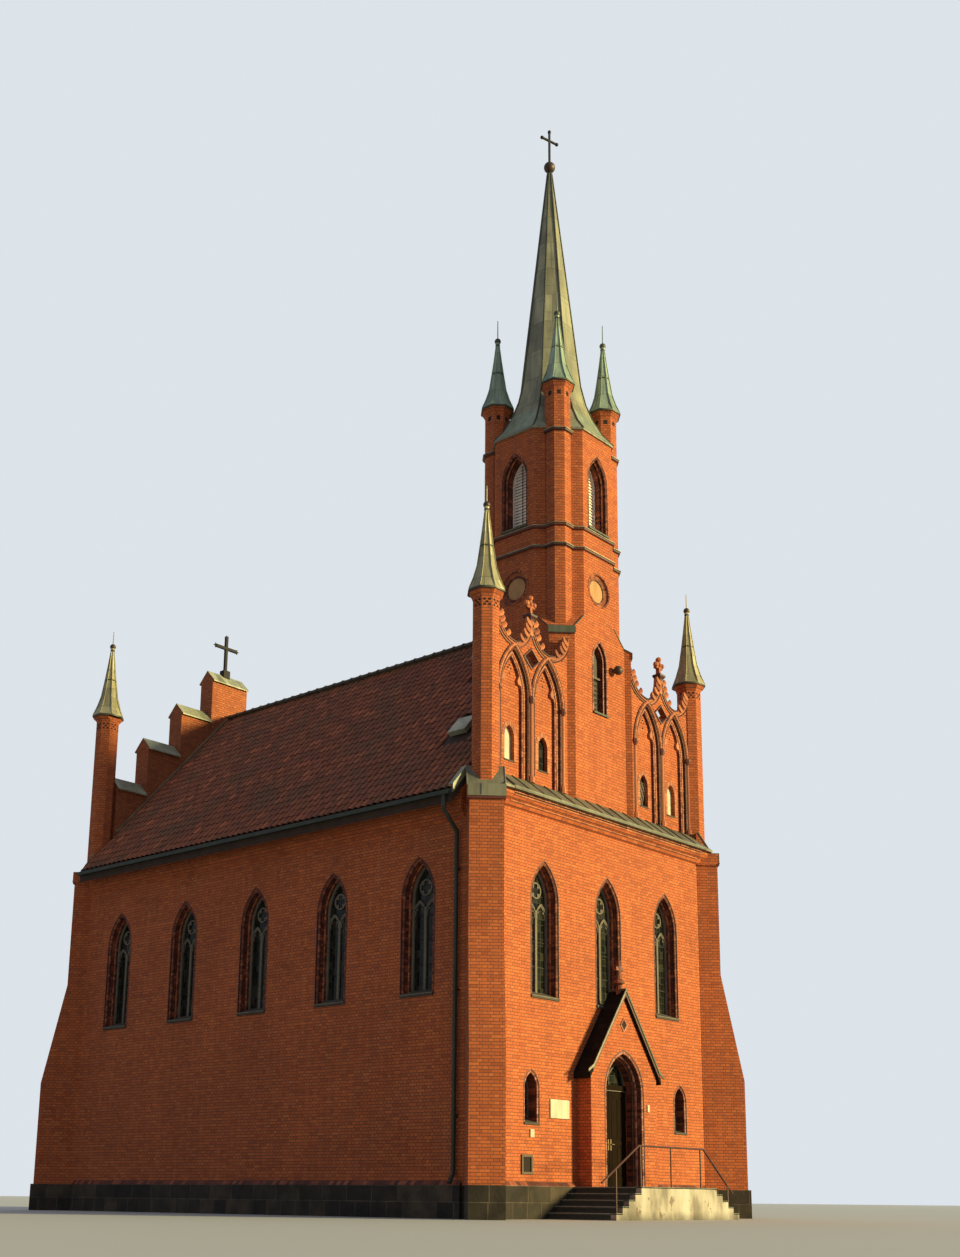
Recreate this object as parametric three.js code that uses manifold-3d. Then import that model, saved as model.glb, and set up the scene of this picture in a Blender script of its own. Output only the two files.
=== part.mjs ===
// A brick church with a tower and spire, a stepped rear gable and a gabled porch.
// Millimetres, +Z up. The origin is on the ground, in the plane of the front wall, on the centre line.
// +X runs along the front to the right, +Y runs back along the nave.
import * as THREE from 'three';
import { mergeVertices } from 'three/addons/utils/BufferGeometryUtils.js';
import Module from 'manifold-3d';

const wasm = await Module();
wasm.setup();

// Driving dimensions of the body
const GAP = 0.3;
const PLINTH_TOP = 720;
const PLINTH_OUT = 80;
const LENGTH = 15700;
const HALF_WIDTH = 4750;
const END_WALL = 600;
const SIDE_WALL = 500;
const PIER_INNER_X = 4150;
const DOOR_BAND_TOP = 4400;
const WALL_TOP = 9700;
const FLOOR_THICK = 300;

// Roof of the nave
const RIDGE_Z = 15590;
const ROOF_SLOPE = 1.129;
const ROOF_DEPTH = 380;
const EAVE_X = 5250;
const GUTTER_WIDTH = 110;
const GUTTER_HEIGHT = 120;
const GUTTER_SHEET = 15;
const GUTTER_DROP = 60;

// Corner buttresses, and the slim turrets over them
const CORNER_X = 4430;
const CORNER_Y = 280;
const BUTTRESS_WIDTH = 800;
const BUTTRESS_REACH = 576;
const BUTTRESS_FOOT_REACH = 1131;
const BUTTRESS_SLOPE_LOW = 3520;
const BUTTRESS_SLOPE_HIGH = 6340;
const BUTTRESS_TOP = 9340;
const CAP_FASCIA = 330;
const CAP_OVERHANG = 40;
const CAP_SLOPE_FOOT = 410;
const CAP_SLOPE_HEAD = 70;
const CAP_TOP = 10240;
const TURRET_APOTHEM = 310;
const TURRET_EAVE_Z = 14600;
const TURRET_EAVE_APOTHEM = 430;
const TURRET_BALL_Z = 16900;
const TURRET_TIP_Z = 17400;
const CORNER_INSET = 100;
const CUT_TOP = 10500;
const FAR = 3000;

// A turret's moulded head: (extra apothem, depth below the eave)
const TURRET_HEAD = [[0, 190], [30, 130]];
const TURRET_HEAD_LIP = 50;
const TURRET_HEAD_INSET = 20;

// A turret cap's sides: (share of the eave's apothem, share of the rise to the ball)
const SPIRELET_CURVE = [[0.76, 0.12], [0.54, 0.27], [0.37, 0.5], [0.23, 0.71], [0.1, 0.93]];
const SPIRELET_EDGE = 35;
const SPIRELET_BALL = 72;

// Windows: half width, sill, springing and apex
const LANCET = { half: 525, sill: 5000, spring: 7330, apex: 8280 };
const LANCET_SPACING = 2550;
const SMALL_LANCET = { half: 280, sill: 2100, spring: 2900, apex: 3320 };
const SMALL_LANCET_X = 3060;
const NAVE_BAY = 2900;
const NAVE_BAYS = 5;
const NAVE_JOINT = 6400;
const NAVE_CORBEL = [[0, 9020], [70, 9060], [70, 9150], [150, 9200]];
const GLASS = 30;
const GLASS_LAP = 60;
const SHEET_BOTTOM = 4900;
const SHEET_TOP = 8400;
const SIDE_SHEET = [1400, 14300];
const REAR_SHEET_HALF = 3200;

// Copper ledge and brick cornice over the front
const LEDGE_OUT = 350;
const LEDGE_TOP = 10190;
const CORNICE_BOTTOM = 9350;
const CORNICE_PROFILE = [[-10, 0], [0, 0], [70, 40], [110, 90], [110, 130], [190, 180], [250, 250]];

// Twin niches with ogee gables on each side of the tower
const ARCADE_FRONT = 180;
const ARCADE_STEP = 260;
const ARCADE_BACK = 340;
const ARCADE_SPRING = 12300;
const ARCADE_VALLEY = 13620;
const ARCADE_PEAK = 14420;
const ARCADE_SIDE_PEAK = 14300;
const ARCADE_FINIAL_TOP = 14980;
const ARCADE_MID_X = 2830;
const ARCADE_BAY = 1300;
const NICHE_OUTER = { half: 570, sill: LEDGE_TOP, spring: ARCADE_SPRING, apex: 13500 };
const NICHE_INNER = { half: 440, sill: LEDGE_TOP, spring: ARCADE_SPRING, apex: 13330 };
const NICHE_BACK = { half: 650, sill: WALL_TOP, spring: ARCADE_SPRING, apex: 13600 };
const NICHE_WINDOW = { half: 180, sill: 10650, spring: 11250, apex: 11530 };
const NICHE_WINDOW_DEPTH = 160;
const LOZENGE_Z = 13350;
const LOZENGE_HALF = 290;
const LOZENGE_RISE = 260;
const ARCADE_STEM_HALF = 45;
const ARCADE_STEM_BACK = 280;
const ARCADE_ARMS = { half: 150, bottom: 14680, top: 14800 };
const ARCADE_TOWER_X = 1420;
const ARCADE_END_X = 1000;
const ARCADE_OUTER_X = 4780;

// Tower
const TOWER_Y = 1740;
const TOWER_APOTHEM = 1580;
const TOWER_WALL = 500;
const BASE_WALL = 420;
const BASE_INSIDE_APOTHEM = 1140;
const BASE_PANE_DEPTH = 200;
const BASE_ARM_HALF = 330;
const BASE_ARM_REACH = 2085;
const SHOULDER_TOP = 15170;
const SHOULDER_SLOPE = 1.41;
const OCTAGON_TOP = 20450;
const BASE_LANCET = { half: 320, sill: 12640, spring: 14080, apex: 14640 };
const BELFRY_LANCET = { half: 440, sill: 17700, spring: 19140, apex: 19920 };
const OCULUS_Z = 16050;
const OCULUS_RADIUS = 460;
const OCULUS_DEPTH = 130;
const LOUVRE_SHEET = 30;
const LOUVRE_BOTTOM = 17600;
const LOUVRE_TOP = 20020;
const INNER_ARCH = { spring: 7600, haunch: 8500, haunchIn: 500, crown: 9000 };
const TOWER_TURRET_REACH = 1490;
const TOWER_TURRET_APOTHEM = 330;
const TOWER_TURRET_BACK = 1300;
const TOWER_TURRET_FOOT = 14000;
const TOWER_TURRET_EAVE_Z = 21750;
const TOWER_TURRET_EAVE_APOTHEM = 435;
const TOWER_TURRET_BALL_Z = 23950;
const TOWER_TURRET_TIP_Z = 24600;
const SPIRE_TOP = 29460;
const SPIRE_TIP = 60;
const SPIRE_OUTSIDE = [[1630, 0], [1630, 50], [1350, 420], [1110, 900], [930, 1400], [800, 2000]];
const SPIRE_INSIDE = [[700, 1900], [1000, 800], [1380, 120], [1430, 0]];
const SPIRE_INSIDE_TOP = 27960;
const SPIRE_BALL_Z = 29690;
const SPIRE_BALL_RADIUS = 150;
const CROSS_ARM_Z = 30590;
const CROSS_TOP = 30940;
const CROSS_HALF = 270;
const CROSS_BAR = 50;
const CROSS_TURN = -0.25;

// Rear gable
const STEP_EDGES = [4150, 3100, 1900, 720];
const STEP_TOPS = [12380, 13890, 15330, 16760];
const COPING_RISE = 380;
const COPING_OUT = 60;
const REAR_CROSS_TOP = 18550;
const REAR_CROSS_ARM_Z = 18130;
const REAR_CROSS_HALF = 420;
const REAR_CROSS_BAR = 90;
const REAR_CROSS_FOOT = { half: 130, depth: 110, bottom: 17000, top: 17330 };

// Porch, doors and stairs
const PORCH_FRONT = -420;
const PORCH_HALF = 1350;
const PORCH_EAVE_X = 1470;
const PORCH_EAVE_Z = 3370;
const PORCH_RIDGE_Z = 5430;
const PORCH_ROOF_DEPTH = 150;
const PORCH_ROOF_FRONT = -490;
const PORCH_ARCH = { half: 790, sill: PLINTH_TOP, spring: 2950, apex: 3950 };
const PORCH_ARCH_INNER = { half: 700, sill: PLINTH_TOP, spring: 2950, apex: 3850 };
const PORCH_ARCH_STEP = -250;
const FINIAL_Y = -300;
const FINIAL_TOP = 6180;
const FINIAL_FOOT = 5330;
const FINIAL_PROFILE = [[70, 0], [70, 230], [130, 280], [130, 350], [60, 390]];
const FINIAL_ARMS = { half: 150, thick: 80, bottom: 5920, top: 6020 };
const DOORWAY_HALF = 700;
const TRANSOM_Z = 3050;
const TYMPANUM_ARCH = { half: 640, sill: 3150, spring: 3160, apex: 3850 };
const FRAME_FRONT = 50;
const FRAME_BACK = 120;
const FRAME_WIDTH = 45;
const LEAF_EDGE_X = 650;
const LEAF_MIDDLE_GAP = 3;
const LEAF_FRONT = 60;
const LEAF_BOTTOM = 728;
const LEAF_TOP = 3000;
const HINGE_X = 652.5;
const HINGE_Y = 136;
const HINGE_RADIUS = 12;
const HINGE_LENGTH = 90;
const HINGE_LEVELS = [1000, 2600];
const STRAP_LENGTH = 60;
const STRAP_THICK = 20;
const HEAD_GAP = 6;
const LANDING_HALF = 1570;
const STAIR_FRONT = -1950;
const CHEEK_THICK = 150;
const TREADS = 5;
const GOING = 245;
const RAIL_HEIGHT = 910;
const RAIL_RADIUS = 24;
const RAIL_Y = -1870;
const RAIL_POST_RADIUS = 20;
const RAIL_TOP = PLINTH_TOP + RAIL_HEIGHT;
const RAIL_BENDS = [[-2960, 800], [-1540, RAIL_TOP], [1130, RAIL_TOP], [2400, 620]];
const RAIL_POSTS = [[-2430, 144], [-1480, PLINTH_TOP], [-250, PLINTH_TOP], [1000, PLINTH_TOP], [2180, 288]];

// Roof hatch and rainwater pipes
const HATCH = { x: -3350, y: 1900, width: 620, length: 560, height: 130 };
const PIPE_RADIUS = 50;
const PIPE_OFFSET = 90;
const PIPE_Y = 780;
const PIPE_BENDS = [330, 770];
const PIPE_SHOE = { turn: 260, out: 120, end: 60 };
const PIPE_BRACKETS = [2200, 5000, 7800];
const BRACKET_HEIGHT = 40;

const BRICK = { color: 0x9c4526, roughness: 0.85, metalness: 0 };
const GRANITE = { color: 0x7d746c, roughness: 0.9, metalness: 0 };
const COPPER = { color: 0x6f8476, roughness: 0.6, metalness: 0.4 };
const TILE = { color: 0x6e3a2c, roughness: 0.8, metalness: 0 };
const TIMBER = { color: 0x2b2a22, roughness: 0.5, metalness: 0 };
const GLAZING = { color: 0x2a3634, roughness: 0.2, metalness: 0 };
const IRON = { color: 0x4a2a20, roughness: 0.5, metalness: 0.6 };
const RENDER = { color: 0xc9c5bc, roughness: 0.9, metalness: 0 };
const LOUVRE = { color: 0xb9b1a2, roughness: 0.7, metalness: 0 };
const ZINC = { color: 0x5b5f5c, roughness: 0.5, metalness: 0.7 };

const church = new THREE.Group();

function add(name, geometry, finish) {
  const mesh = new THREE.Mesh(geometry, new THREE.MeshStandardMaterial(finish));
  mesh.name = name;
  church.add(mesh);
}

// Solids that are joined or cut
function toSolid(geometry) {
  const plain = geometry.clone();
  plain.deleteAttribute('normal');
  plain.deleteAttribute('uv');
  const merged = mergeVertices(plain, 1e-3);
  const vertProperties = new Float32Array(merged.attributes.position.array);
  const triVerts = new Uint32Array(merged.index.array);
  return new wasm.Manifold(new wasm.Mesh({ numProp: 3, vertProperties, triVerts }));
}

function toGeometry(solid) {
  const mesh = solid.getMesh();
  const geometry = new THREE.BufferGeometry();
  geometry.setAttribute('position', new THREE.BufferAttribute(mesh.vertProperties, 3));
  geometry.setIndex(new THREE.BufferAttribute(mesh.triVerts, 1));
  geometry.computeVertexNormals();
  return geometry;
}

function join(...geometries) {
  return toGeometry(geometries.map(toSolid).reduce((a, b) => a.add(b)));
}

function common(a, b) {
  return toGeometry(toSolid(a).intersect(toSolid(b)));
}

function cut(geometry, ...tools) {
  return toGeometry(tools.map(toSolid).reduce((a, b) => a.subtract(b), toSolid(geometry)));
}

// The biggest of the separate pieces that a cut leaves
function largest(geometry) {
  const pieces = toSolid(geometry).decompose();
  return toGeometry(pieces.reduce((a, b) => (a.volume() > b.volume() ? a : b)));
}

// Plain shapes
function box(x0, x1, y0, y1, z0, z1) {
  const geometry = new THREE.BoxGeometry(x1 - x0, y1 - y0, z1 - z0);
  return geometry.translate((x0 + x1) / 2, (y0 + y1) / 2, (z0 + z1) / 2);
}

function outlineShape(points) {
  const ring = points.map(([a, b]) => new THREE.Vector2(a, b));
  if (THREE.ShapeUtils.isClockWise(ring)) ring.reverse();
  return new THREE.Shape(ring);
}

function extrude(points, depth, xAxis, yAxis, zAxis) {
  const geometry = new THREE.ExtrudeGeometry(outlineShape(points), { depth, bevelEnabled: false });
  return geometry.applyMatrix4(new THREE.Matrix4().makeBasis(xAxis, yAxis, zAxis));
}

const X = new THREE.Vector3(1, 0, 0);
const Y = new THREE.Vector3(0, 1, 0);
const Z = new THREE.Vector3(0, 0, 1);

// An outline of (x, z) points, from y0 back to y1
function alongY(points, y0, y1) {
  return extrude(points, y1 - y0, X, Z, Y.clone().negate()).translate(0, y1, 0);
}

// An outline of (y, z) points, from x0 to x1
function alongX(points, x0, x1) {
  return extrude(points, x1 - x0, Y, Z, X).translate(x0, 0, 0);
}

// An outline of (x, y) points, from z0 up to z1
function alongZ(points, z0, z1) {
  return extrude(points, z1 - z0, X, Y, Z).translate(0, 0, z0);
}

// The outline of a pointed opening, centred on c
function pointed({ half, sill, spring, apex }, c = 0, grow = 0) {
  const w = half + grow;
  const rise = apex + grow - spring;
  const offset = (rise * rise - w * w) / (2 * w);
  const radius = w + offset;
  const sweep = Math.atan2(rise, offset);
  const steps = 6;
  const points = [[c - w, sill - grow], [c + w, sill - grow]];
  for (let i = 0; i <= steps; i += 1) {
    const angle = sweep * i / steps;
    points.push([c - offset + radius * Math.cos(angle), spring + radius * Math.sin(angle)]);
  }
  for (let i = steps - 1; i >= 0; i -= 1) {
    const angle = sweep * i / steps;
    points.push([c + offset - radius * Math.cos(angle), spring + radius * Math.sin(angle)]);
  }
  return points;
}

// An eight-sided solid turned from (apothem, z) points, with flats facing the four sides
function octagonal(profile, x, y) {
  const corner = 1 / Math.cos(Math.PI / 8);
  const points = profile.map(([apothem, z]) => new THREE.Vector2(apothem * corner, z));
  const geometry = new THREE.LatheGeometry(points, 8);
  return geometry.rotateX(Math.PI / 2).rotateZ(Math.PI / 8).translate(x, y, 0);
}

function octagonPrism(apothem, z0, z1, x, y) {
  return octagonal([[0, z0], [apothem, z0], [apothem, z1], [0, z1]], x, y);
}

function cylinder(radius, z0, z1, x, y, sides = 16) {
  const geometry = new THREE.CylinderGeometry(radius, radius, z1 - z0, sides);
  return geometry.rotateX(Math.PI / 2).translate(x, y, (z0 + z1) / 2);
}

// A round bar between two points, a little longer where bars meet
function rod(from, to, radius, extra) {
  const bar = new THREE.CylinderGeometry(radius, radius, from.distanceTo(to) + extra, 8);
  const turn = new THREE.Quaternion().setFromUnitVectors(Y, to.clone().sub(from).normalize());
  const middle = from.clone().add(to).multiplyScalar(0.5);
  return bar.applyQuaternion(turn).translate(middle.x, middle.y, middle.z);
}

// An outline of (outward distance, z) points across a width, turned to face out of a corner
function cornerArm(points, width, x, y, sideX, sideY) {
  const arm = extrude(points, width, X, Z, Y.clone().negate()).translate(0, width / 2, 0);
  return arm.rotateZ(Math.atan2(sideY, sideX)).translate(x, y, 0);
}

const SIDES = [['left', -1], ['right', 1]];
const ENDS = [['front', -1, CORNER_Y], ['rear', 1, LENGTH - CORNER_Y]];
const DIAGONALS = [[-1, -1], [1, -1], [-1, 1], [1, 1]];

// A box across X between two distances on one side of the centre line
function sideBox(sign, a, b, y0, y1, z0, z1) {
  return box(Math.min(sign * a, sign * b), Math.max(sign * a, sign * b), y0, y1, z0, z1);
}

function roofTop(x) {
  return RIDGE_Z - ROOF_SLOPE * Math.abs(x);
}

function roofUnder(x) {
  return roofTop(x) - ROOF_DEPTH - GAP;
}

// Plinth walls round a floor slab, as one solid
function addPlinth() {
  const side = HALF_WIDTH + PLINTH_OUT;
  const inner = HALF_WIDTH - SIDE_WALL;
  const rear = LENGTH - END_WALL;
  const floor = box(-inner, inner, END_WALL, rear, PLINTH_TOP - FLOOR_THICK, PLINTH_TOP);
  const ends = [[-PLINTH_OUT, END_WALL], [rear, LENGTH + PLINTH_OUT]];
  const walls = ends.map(([y0, y1]) => box(-PIER_INNER_X, PIER_INNER_X, y0, y1, 0, PLINTH_TOP));
  for (const [, sign] of SIDES) walls.push(sideBox(sign, inner, side, END_WALL, rear, 0, PLINTH_TOP));
  add('plinth', join(floor, ...walls), GRANITE);
}

// The (apothem, z) profile of a turret's shaft and moulded head
function turretProfile(apothem, eaveApothem, foot, eave) {
  const wide = eaveApothem - TURRET_HEAD_INSET;
  return [[0, foot], [apothem, foot], ...TURRET_HEAD.map(([out, down]) => [apothem + out, eave - down]),
    [wide, eave - TURRET_HEAD_LIP], [wide, eave], [0, eave]];
}

// Corner piers: diagonal buttresses with a long set-off, each carrying a slim octagonal turret
function addCornerTurrets() {
  const reach = BUTTRESS_REACH;
  const foot = BUTTRESS_FOOT_REACH;
  const cap = reach + CAP_OVERHANG;
  const head = TURRET_EAVE_Z;
  const armOutline = [[-CORNER_INSET, 0], [foot + PLINTH_OUT, 0], [foot + PLINTH_OUT, PLINTH_TOP],
    [foot, PLINTH_TOP], [foot, BUTTRESS_SLOPE_LOW], [reach, BUTTRESS_SLOPE_HIGH], [reach, BUTTRESS_TOP],
    [-CORNER_INSET, BUTTRESS_TOP]];
  const capEdge = BUTTRESS_TOP + CAP_FASCIA;
  const capOutline = [[0, BUTTRESS_TOP], [cap, BUTTRESS_TOP], [cap, capEdge], [CAP_SLOPE_FOOT, capEdge],
    [CAP_SLOPE_HEAD, CAP_TOP], [0, CAP_TOP]];
  const shaft = turretProfile(TURRET_APOTHEM, TURRET_EAVE_APOTHEM, BUTTRESS_TOP, head);
  for (const [endName, endSign, y] of ENDS) {
    const outerY = endSign < 0 ? 0 : LENGTH;
    const innerY = endSign < 0 ? END_WALL : LENGTH - END_WALL;
    for (const [sideName, sideSign] of SIDES) {
      const x = sideSign * CORNER_X;
      const ys = [innerY, outerY].sort((a, b) => a - b);
      const block = sideBox(sideSign, PIER_INNER_X, HALF_WIDTH, ys[0], ys[1], 0, BUTTRESS_TOP);
      const arm = cornerArm(armOutline, BUTTRESS_WIDTH, x, y, sideSign, endSign);
      const inside = box(-PIER_INNER_X, PIER_INNER_X, -FAR, LENGTH + FAR, 0, BUTTRESS_TOP + 1);
      const behind = box(-HALF_WIDTH - FAR, HALF_WIDTH + FAR, END_WALL, LENGTH - END_WALL, 0, head);
      const weathering = cornerArm(capOutline, BUTTRESS_WIDTH + 2 * CAP_OVERHANG, x, y, sideSign, endSign);
      const turret = cut(join(block, arm, weathering, octagonal(shaft, x, y)), inside, behind);
      add(`corner_turret_${endName}_${sideName}`, turret, BRICK);
      const spire = spirelet(x, y, head, TURRET_EAVE_APOTHEM, TURRET_BALL_Z, TURRET_TIP_Z);
      add(`corner_spirelet_${endName}_${sideName}`, spire, COPPER);
    }
  }
}

// Shapes that other masonry is cut by
function cornerCutters() {
  const list = [];
  for (const [, endSign, y] of ENDS) {
    for (const [, sideSign] of SIDES) {
      const x = sideSign * CORNER_X;
      const reach = BUTTRESS_REACH + CAP_OVERHANG + GAP;
      const outline = [[-5, BUTTRESS_TOP - 1], [reach, BUTTRESS_TOP - 1], [reach, CUT_TOP], [-5, CUT_TOP]];
      const width = BUTTRESS_WIDTH + 2 * CAP_OVERHANG + 2 * GAP;
      list.push(cornerArm(outline, width, x, y, sideSign, endSign));
      list.push(octagonPrism(TURRET_EAVE_APOTHEM + GAP, TURRET_EAVE_Z - 600, TURRET_EAVE_Z + 100, x, y));
      list.push(octagonPrism(TURRET_APOTHEM + GAP, BUTTRESS_TOP - 1, TURRET_EAVE_Z, x, y));
    }
  }
  return list;
}

// The space of the front corner piers below their caps
function pierCutters() {
  const reach = BUTTRESS_REACH + GAP;
  const low = BUTTRESS_TOP - 700;
  const outline = [[-5, low], [reach, low], [reach, BUTTRESS_TOP + 1], [-5, BUTTRESS_TOP + 1]];
  const width = BUTTRESS_WIDTH + 2 * GAP;
  return SIDES.map(([, sign]) => cornerArm(outline, width, sign * CORNER_X, CORNER_Y, sign, -1));
}

// A slim turret's copper cap, with a ball and a spike
function spirelet(x, y, eaveZ, eaveApothem, ballZ, tipZ) {
  const rise = ballZ - eaveZ;
  const profile = [[0, eaveZ], [eaveApothem, eaveZ], [eaveApothem, eaveZ + SPIRELET_EDGE]];
  for (const [across, up] of SPIRELET_CURVE) profile.push([across * eaveApothem, eaveZ + up * rise]);
  const ball = [[1, -20], [1, 25], [0.36, SPIRELET_BALL], [0.2, 90]];
  for (const [across, up] of ball) profile.push([across * SPIRELET_BALL, ballZ + up]);
  profile.push([10, tipZ], [0, tipZ]);
  return octagonal(profile, x, y);
}

// The outline of one sheet of glass behind all windows of the front wall
function frontSheet() {
  const edge = SMALL_LANCET_X + SMALL_LANCET.half + GLASS_LAP;
  const inner = SMALL_LANCET_X - SMALL_LANCET.half - GLASS_LAP;
  const low = SMALL_LANCET.sill - GLASS_LAP;
  const mid = LANCET.sill - GLASS_LAP;
  const top = LANCET.apex + GLASS_LAP;
  return [[-edge, low], [-inner, low], [-inner, mid], [inner, mid], [inner, low], [edge, low], [edge, top],
    [-edge, top]];
}

// Front wall, split beside and over the doorway
function addFrontWall() {
  const end = PIER_INNER_X;
  for (const [name, sign] of SIDES) {
    const wall = sideBox(sign, DOORWAY_HALF, end, 0, END_WALL, PLINTH_TOP, DOOR_BAND_TOP);
    const hole = alongY(pointed(SMALL_LANCET, sign * SMALL_LANCET_X), -1, END_WALL + 1);
    add(`front_wall_${name}`, cut(wall, hole), BRICK);
  }
  const upper = join(box(-end, end, 0, END_WALL, DOOR_BAND_TOP, WALL_TOP),
    box(-DOORWAY_HALF, DOORWAY_HALF, 0, END_WALL, TRANSOM_Z, DOOR_BAND_TOP));
  const holes = [-1, 0, 1].map((i) => alongY(pointed(LANCET, i * LANCET_SPACING), -1, END_WALL + 1));
  const profile = CORNICE_PROFILE.map(([out, up]) => [-out, CORNICE_BOTTOM + up]);
  const lip = profile[profile.length - 1][0];
  const cornice = alongX([...profile, [lip, WALL_TOP], [profile[0][0], WALL_TOP]], -HALF_WIDTH, HALF_WIDTH);
  const light = alongY(pointed(TYMPANUM_ARCH), -1, END_WALL + 1);
  const corners = [...cornerCutters(), ...pierCutters()];
  add('front_wall_upper', largest(cut(join(upper, cornice), light, ...holes, ...corners)), BRICK);
  add('transom_light', alongY(pointed(TYMPANUM_ARCH, 0, -GAP), 70, 70 + GLASS), GLAZING);
  add('front_glazing', alongY(frontSheet(), END_WALL, END_WALL + GLASS), GLAZING);
}

// Copper ledge over the brick cornice
function addLedge() {
  const ledge = alongX([[-LEDGE_OUT, WALL_TOP], [ARCADE_FRONT, WALL_TOP], [ARCADE_FRONT, LEDGE_TOP],
    [-LEDGE_OUT, WALL_TOP + 60]], -HALF_WIDTH, HALF_WIDTH);
  const tower = alongZ(basePlan(GAP), WALL_TOP - 1, LEDGE_TOP + 100);
  add('front_ledge', largest(cut(ledge, tower, ...cornerCutters())), COPPER);
}

// The top outline of one pair of niches: it sweeps up to a turret, to the middle finial and to the tower
function ogeeOutline(sign) {
  const left = ARCADE_MID_X + ARCADE_BAY / 2;
  const right = ARCADE_MID_X - ARCADE_BAY / 2;
  const points = [];
  const sweep = (x0, z0, x1, z1, rising) => {
    const steps = 6;
    for (let i = 0; i <= steps; i += 1) {
      const t = (rising ? i : steps - i) / steps * Math.PI / 2;
      points.push([sign * (x0 + (x1 - x0) * Math.sin(t)), z0 + (z1 - z0) * (1 - Math.cos(t))]);
    }
  };
  const stem = 60;
  points.push([sign * HALF_WIDTH, WALL_TOP]);
  points.push([sign * HALF_WIDTH, ARCADE_SIDE_PEAK]);
  sweep(left, ARCADE_VALLEY, PIER_INNER_X - 40, ARCADE_SIDE_PEAK, false);
  sweep(left, ARCADE_VALLEY, ARCADE_MID_X + stem, ARCADE_PEAK, true);
  sweep(right, ARCADE_VALLEY, ARCADE_MID_X - stem, ARCADE_PEAK, false);
  sweep(right, ARCADE_VALLEY, ARCADE_TOWER_X, ARCADE_SIDE_PEAK, true);
  points.push([sign * ARCADE_END_X, ARCADE_SIDE_PEAK]);
  points.push([sign * ARCADE_END_X, WALL_TOP]);
  return points.filter((p, i) => i === 0 || Math.hypot(p[0] - points[i - 1][0], p[1] - points[i - 1][1]) > 1);
}

function addArcades() {
  const bays = [ARCADE_MID_X - ARCADE_BAY / 2, ARCADE_MID_X + ARCADE_BAY / 2];
  for (const [name, sign] of SIDES) {
    const front = alongY(ogeeOutline(sign), ARCADE_FRONT, ARCADE_BACK);
    const niches = bays.map((x) => alongY(pointed(NICHE_OUTER, sign * x), ARCADE_FRONT - 1, ARCADE_STEP));
    const inner = bays.map((x) => alongY(pointed(NICHE_INNER, sign * x), ARCADE_FRONT - 1, ARCADE_BACK));
    const middle = sign * ARCADE_MID_X;
    const lozengeOutline = [[middle - LOZENGE_HALF, LOZENGE_Z], [middle, LOZENGE_Z - LOZENGE_RISE],
      [middle + LOZENGE_HALF, LOZENGE_Z], [middle, LOZENGE_Z + LOZENGE_RISE]];
    const lozenge = alongY(lozengeOutline, ARCADE_FRONT - 1, END_WALL + 1);
    const stem = box(middle - ARCADE_STEM_HALF, middle + ARCADE_STEM_HALF, ARCADE_FRONT, ARCADE_STEM_BACK,
      ARCADE_PEAK - 10, ARCADE_FINIAL_TOP);
    const arms = box(middle - ARCADE_ARMS.half, middle + ARCADE_ARMS.half, ARCADE_FRONT, ARCADE_STEM_BACK,
      ARCADE_ARMS.bottom, ARCADE_ARMS.top);
    const backs = bays.map((x) => alongY(pointed(NICHE_BACK, sign * x), ARCADE_BACK, END_WALL));
    const windows = bays.map((x) => alongY(pointed(NICHE_WINDOW, sign * x), ARCADE_BACK - 1,
      ARCADE_BACK + NICHE_WINDOW_DEPTH));
    const infill = sideBox(sign, ARCADE_END_X, HALF_WIDTH, ARCADE_BACK, END_WALL, WALL_TOP, ARCADE_SPRING);
    const tower = alongZ(basePlan(GAP), WALL_TOP - 1, SHOULDER_TOP + 10);
    const plate = join(cut(front, ...niches, ...inner), stem, arms, infill, ...backs);
    const outside = sideBox(sign, PIER_INNER_X, ARCADE_OUTER_X, 0, END_WALL + 1, WALL_TOP - 1, SHOULDER_TOP);
    const wall = cut(plate, lozenge, ...windows, tower, outside, ...cornerCutters());
    add(`arcade_${name}`, largest(wall), BRICK);
  }
}

// Side walls of the nave, each in two lengths that meet in a pier, with a corbelled brick eave
function addNaveWalls() {
  const outer = HALF_WIDTH;
  const inner = HALF_WIDTH - SIDE_WALL;
  const lengths = [['front', END_WALL, NAVE_JOINT], ['rear', NAVE_JOINT, LENGTH - END_WALL]];
  for (const [name, sign] of SIDES) {
    const corbel = NAVE_CORBEL.map(([out, z]) => [outer + out, z]);
    const lip = corbel[corbel.length - 1][0];
    const profile = [[inner, PLINTH_TOP], [outer, PLINTH_TOP], ...corbel, [lip, roofUnder(lip)],
      [inner, roofUnder(inner)]];
    const holes = [];
    for (let i = 0; i < NAVE_BAYS; i += 1) {
      const y = LENGTH / 2 + (i - (NAVE_BAYS - 1) / 2) * NAVE_BAY;
      const xs = [sign * (inner - 10), sign * (outer + 200)].sort((a, b) => a - b);
      holes.push(alongX(pointed(LANCET, y), xs[0], xs[1]));
    }
    for (const [end, y0, y1] of lengths) {
      const wall = alongY(profile.map(([x, z]) => [sign * x, z]), y0, y1);
      add(`nave_wall_${name}_${end}`, cut(wall, ...holes), BRICK);
    }
    const sheet = sideBox(sign, inner, inner - GLASS, SIDE_SHEET[0], SIDE_SHEET[1], SHEET_BOTTOM, SHEET_TOP);
    add(`nave_glazing_${name}`, sheet, GLAZING);
  }
}

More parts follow.
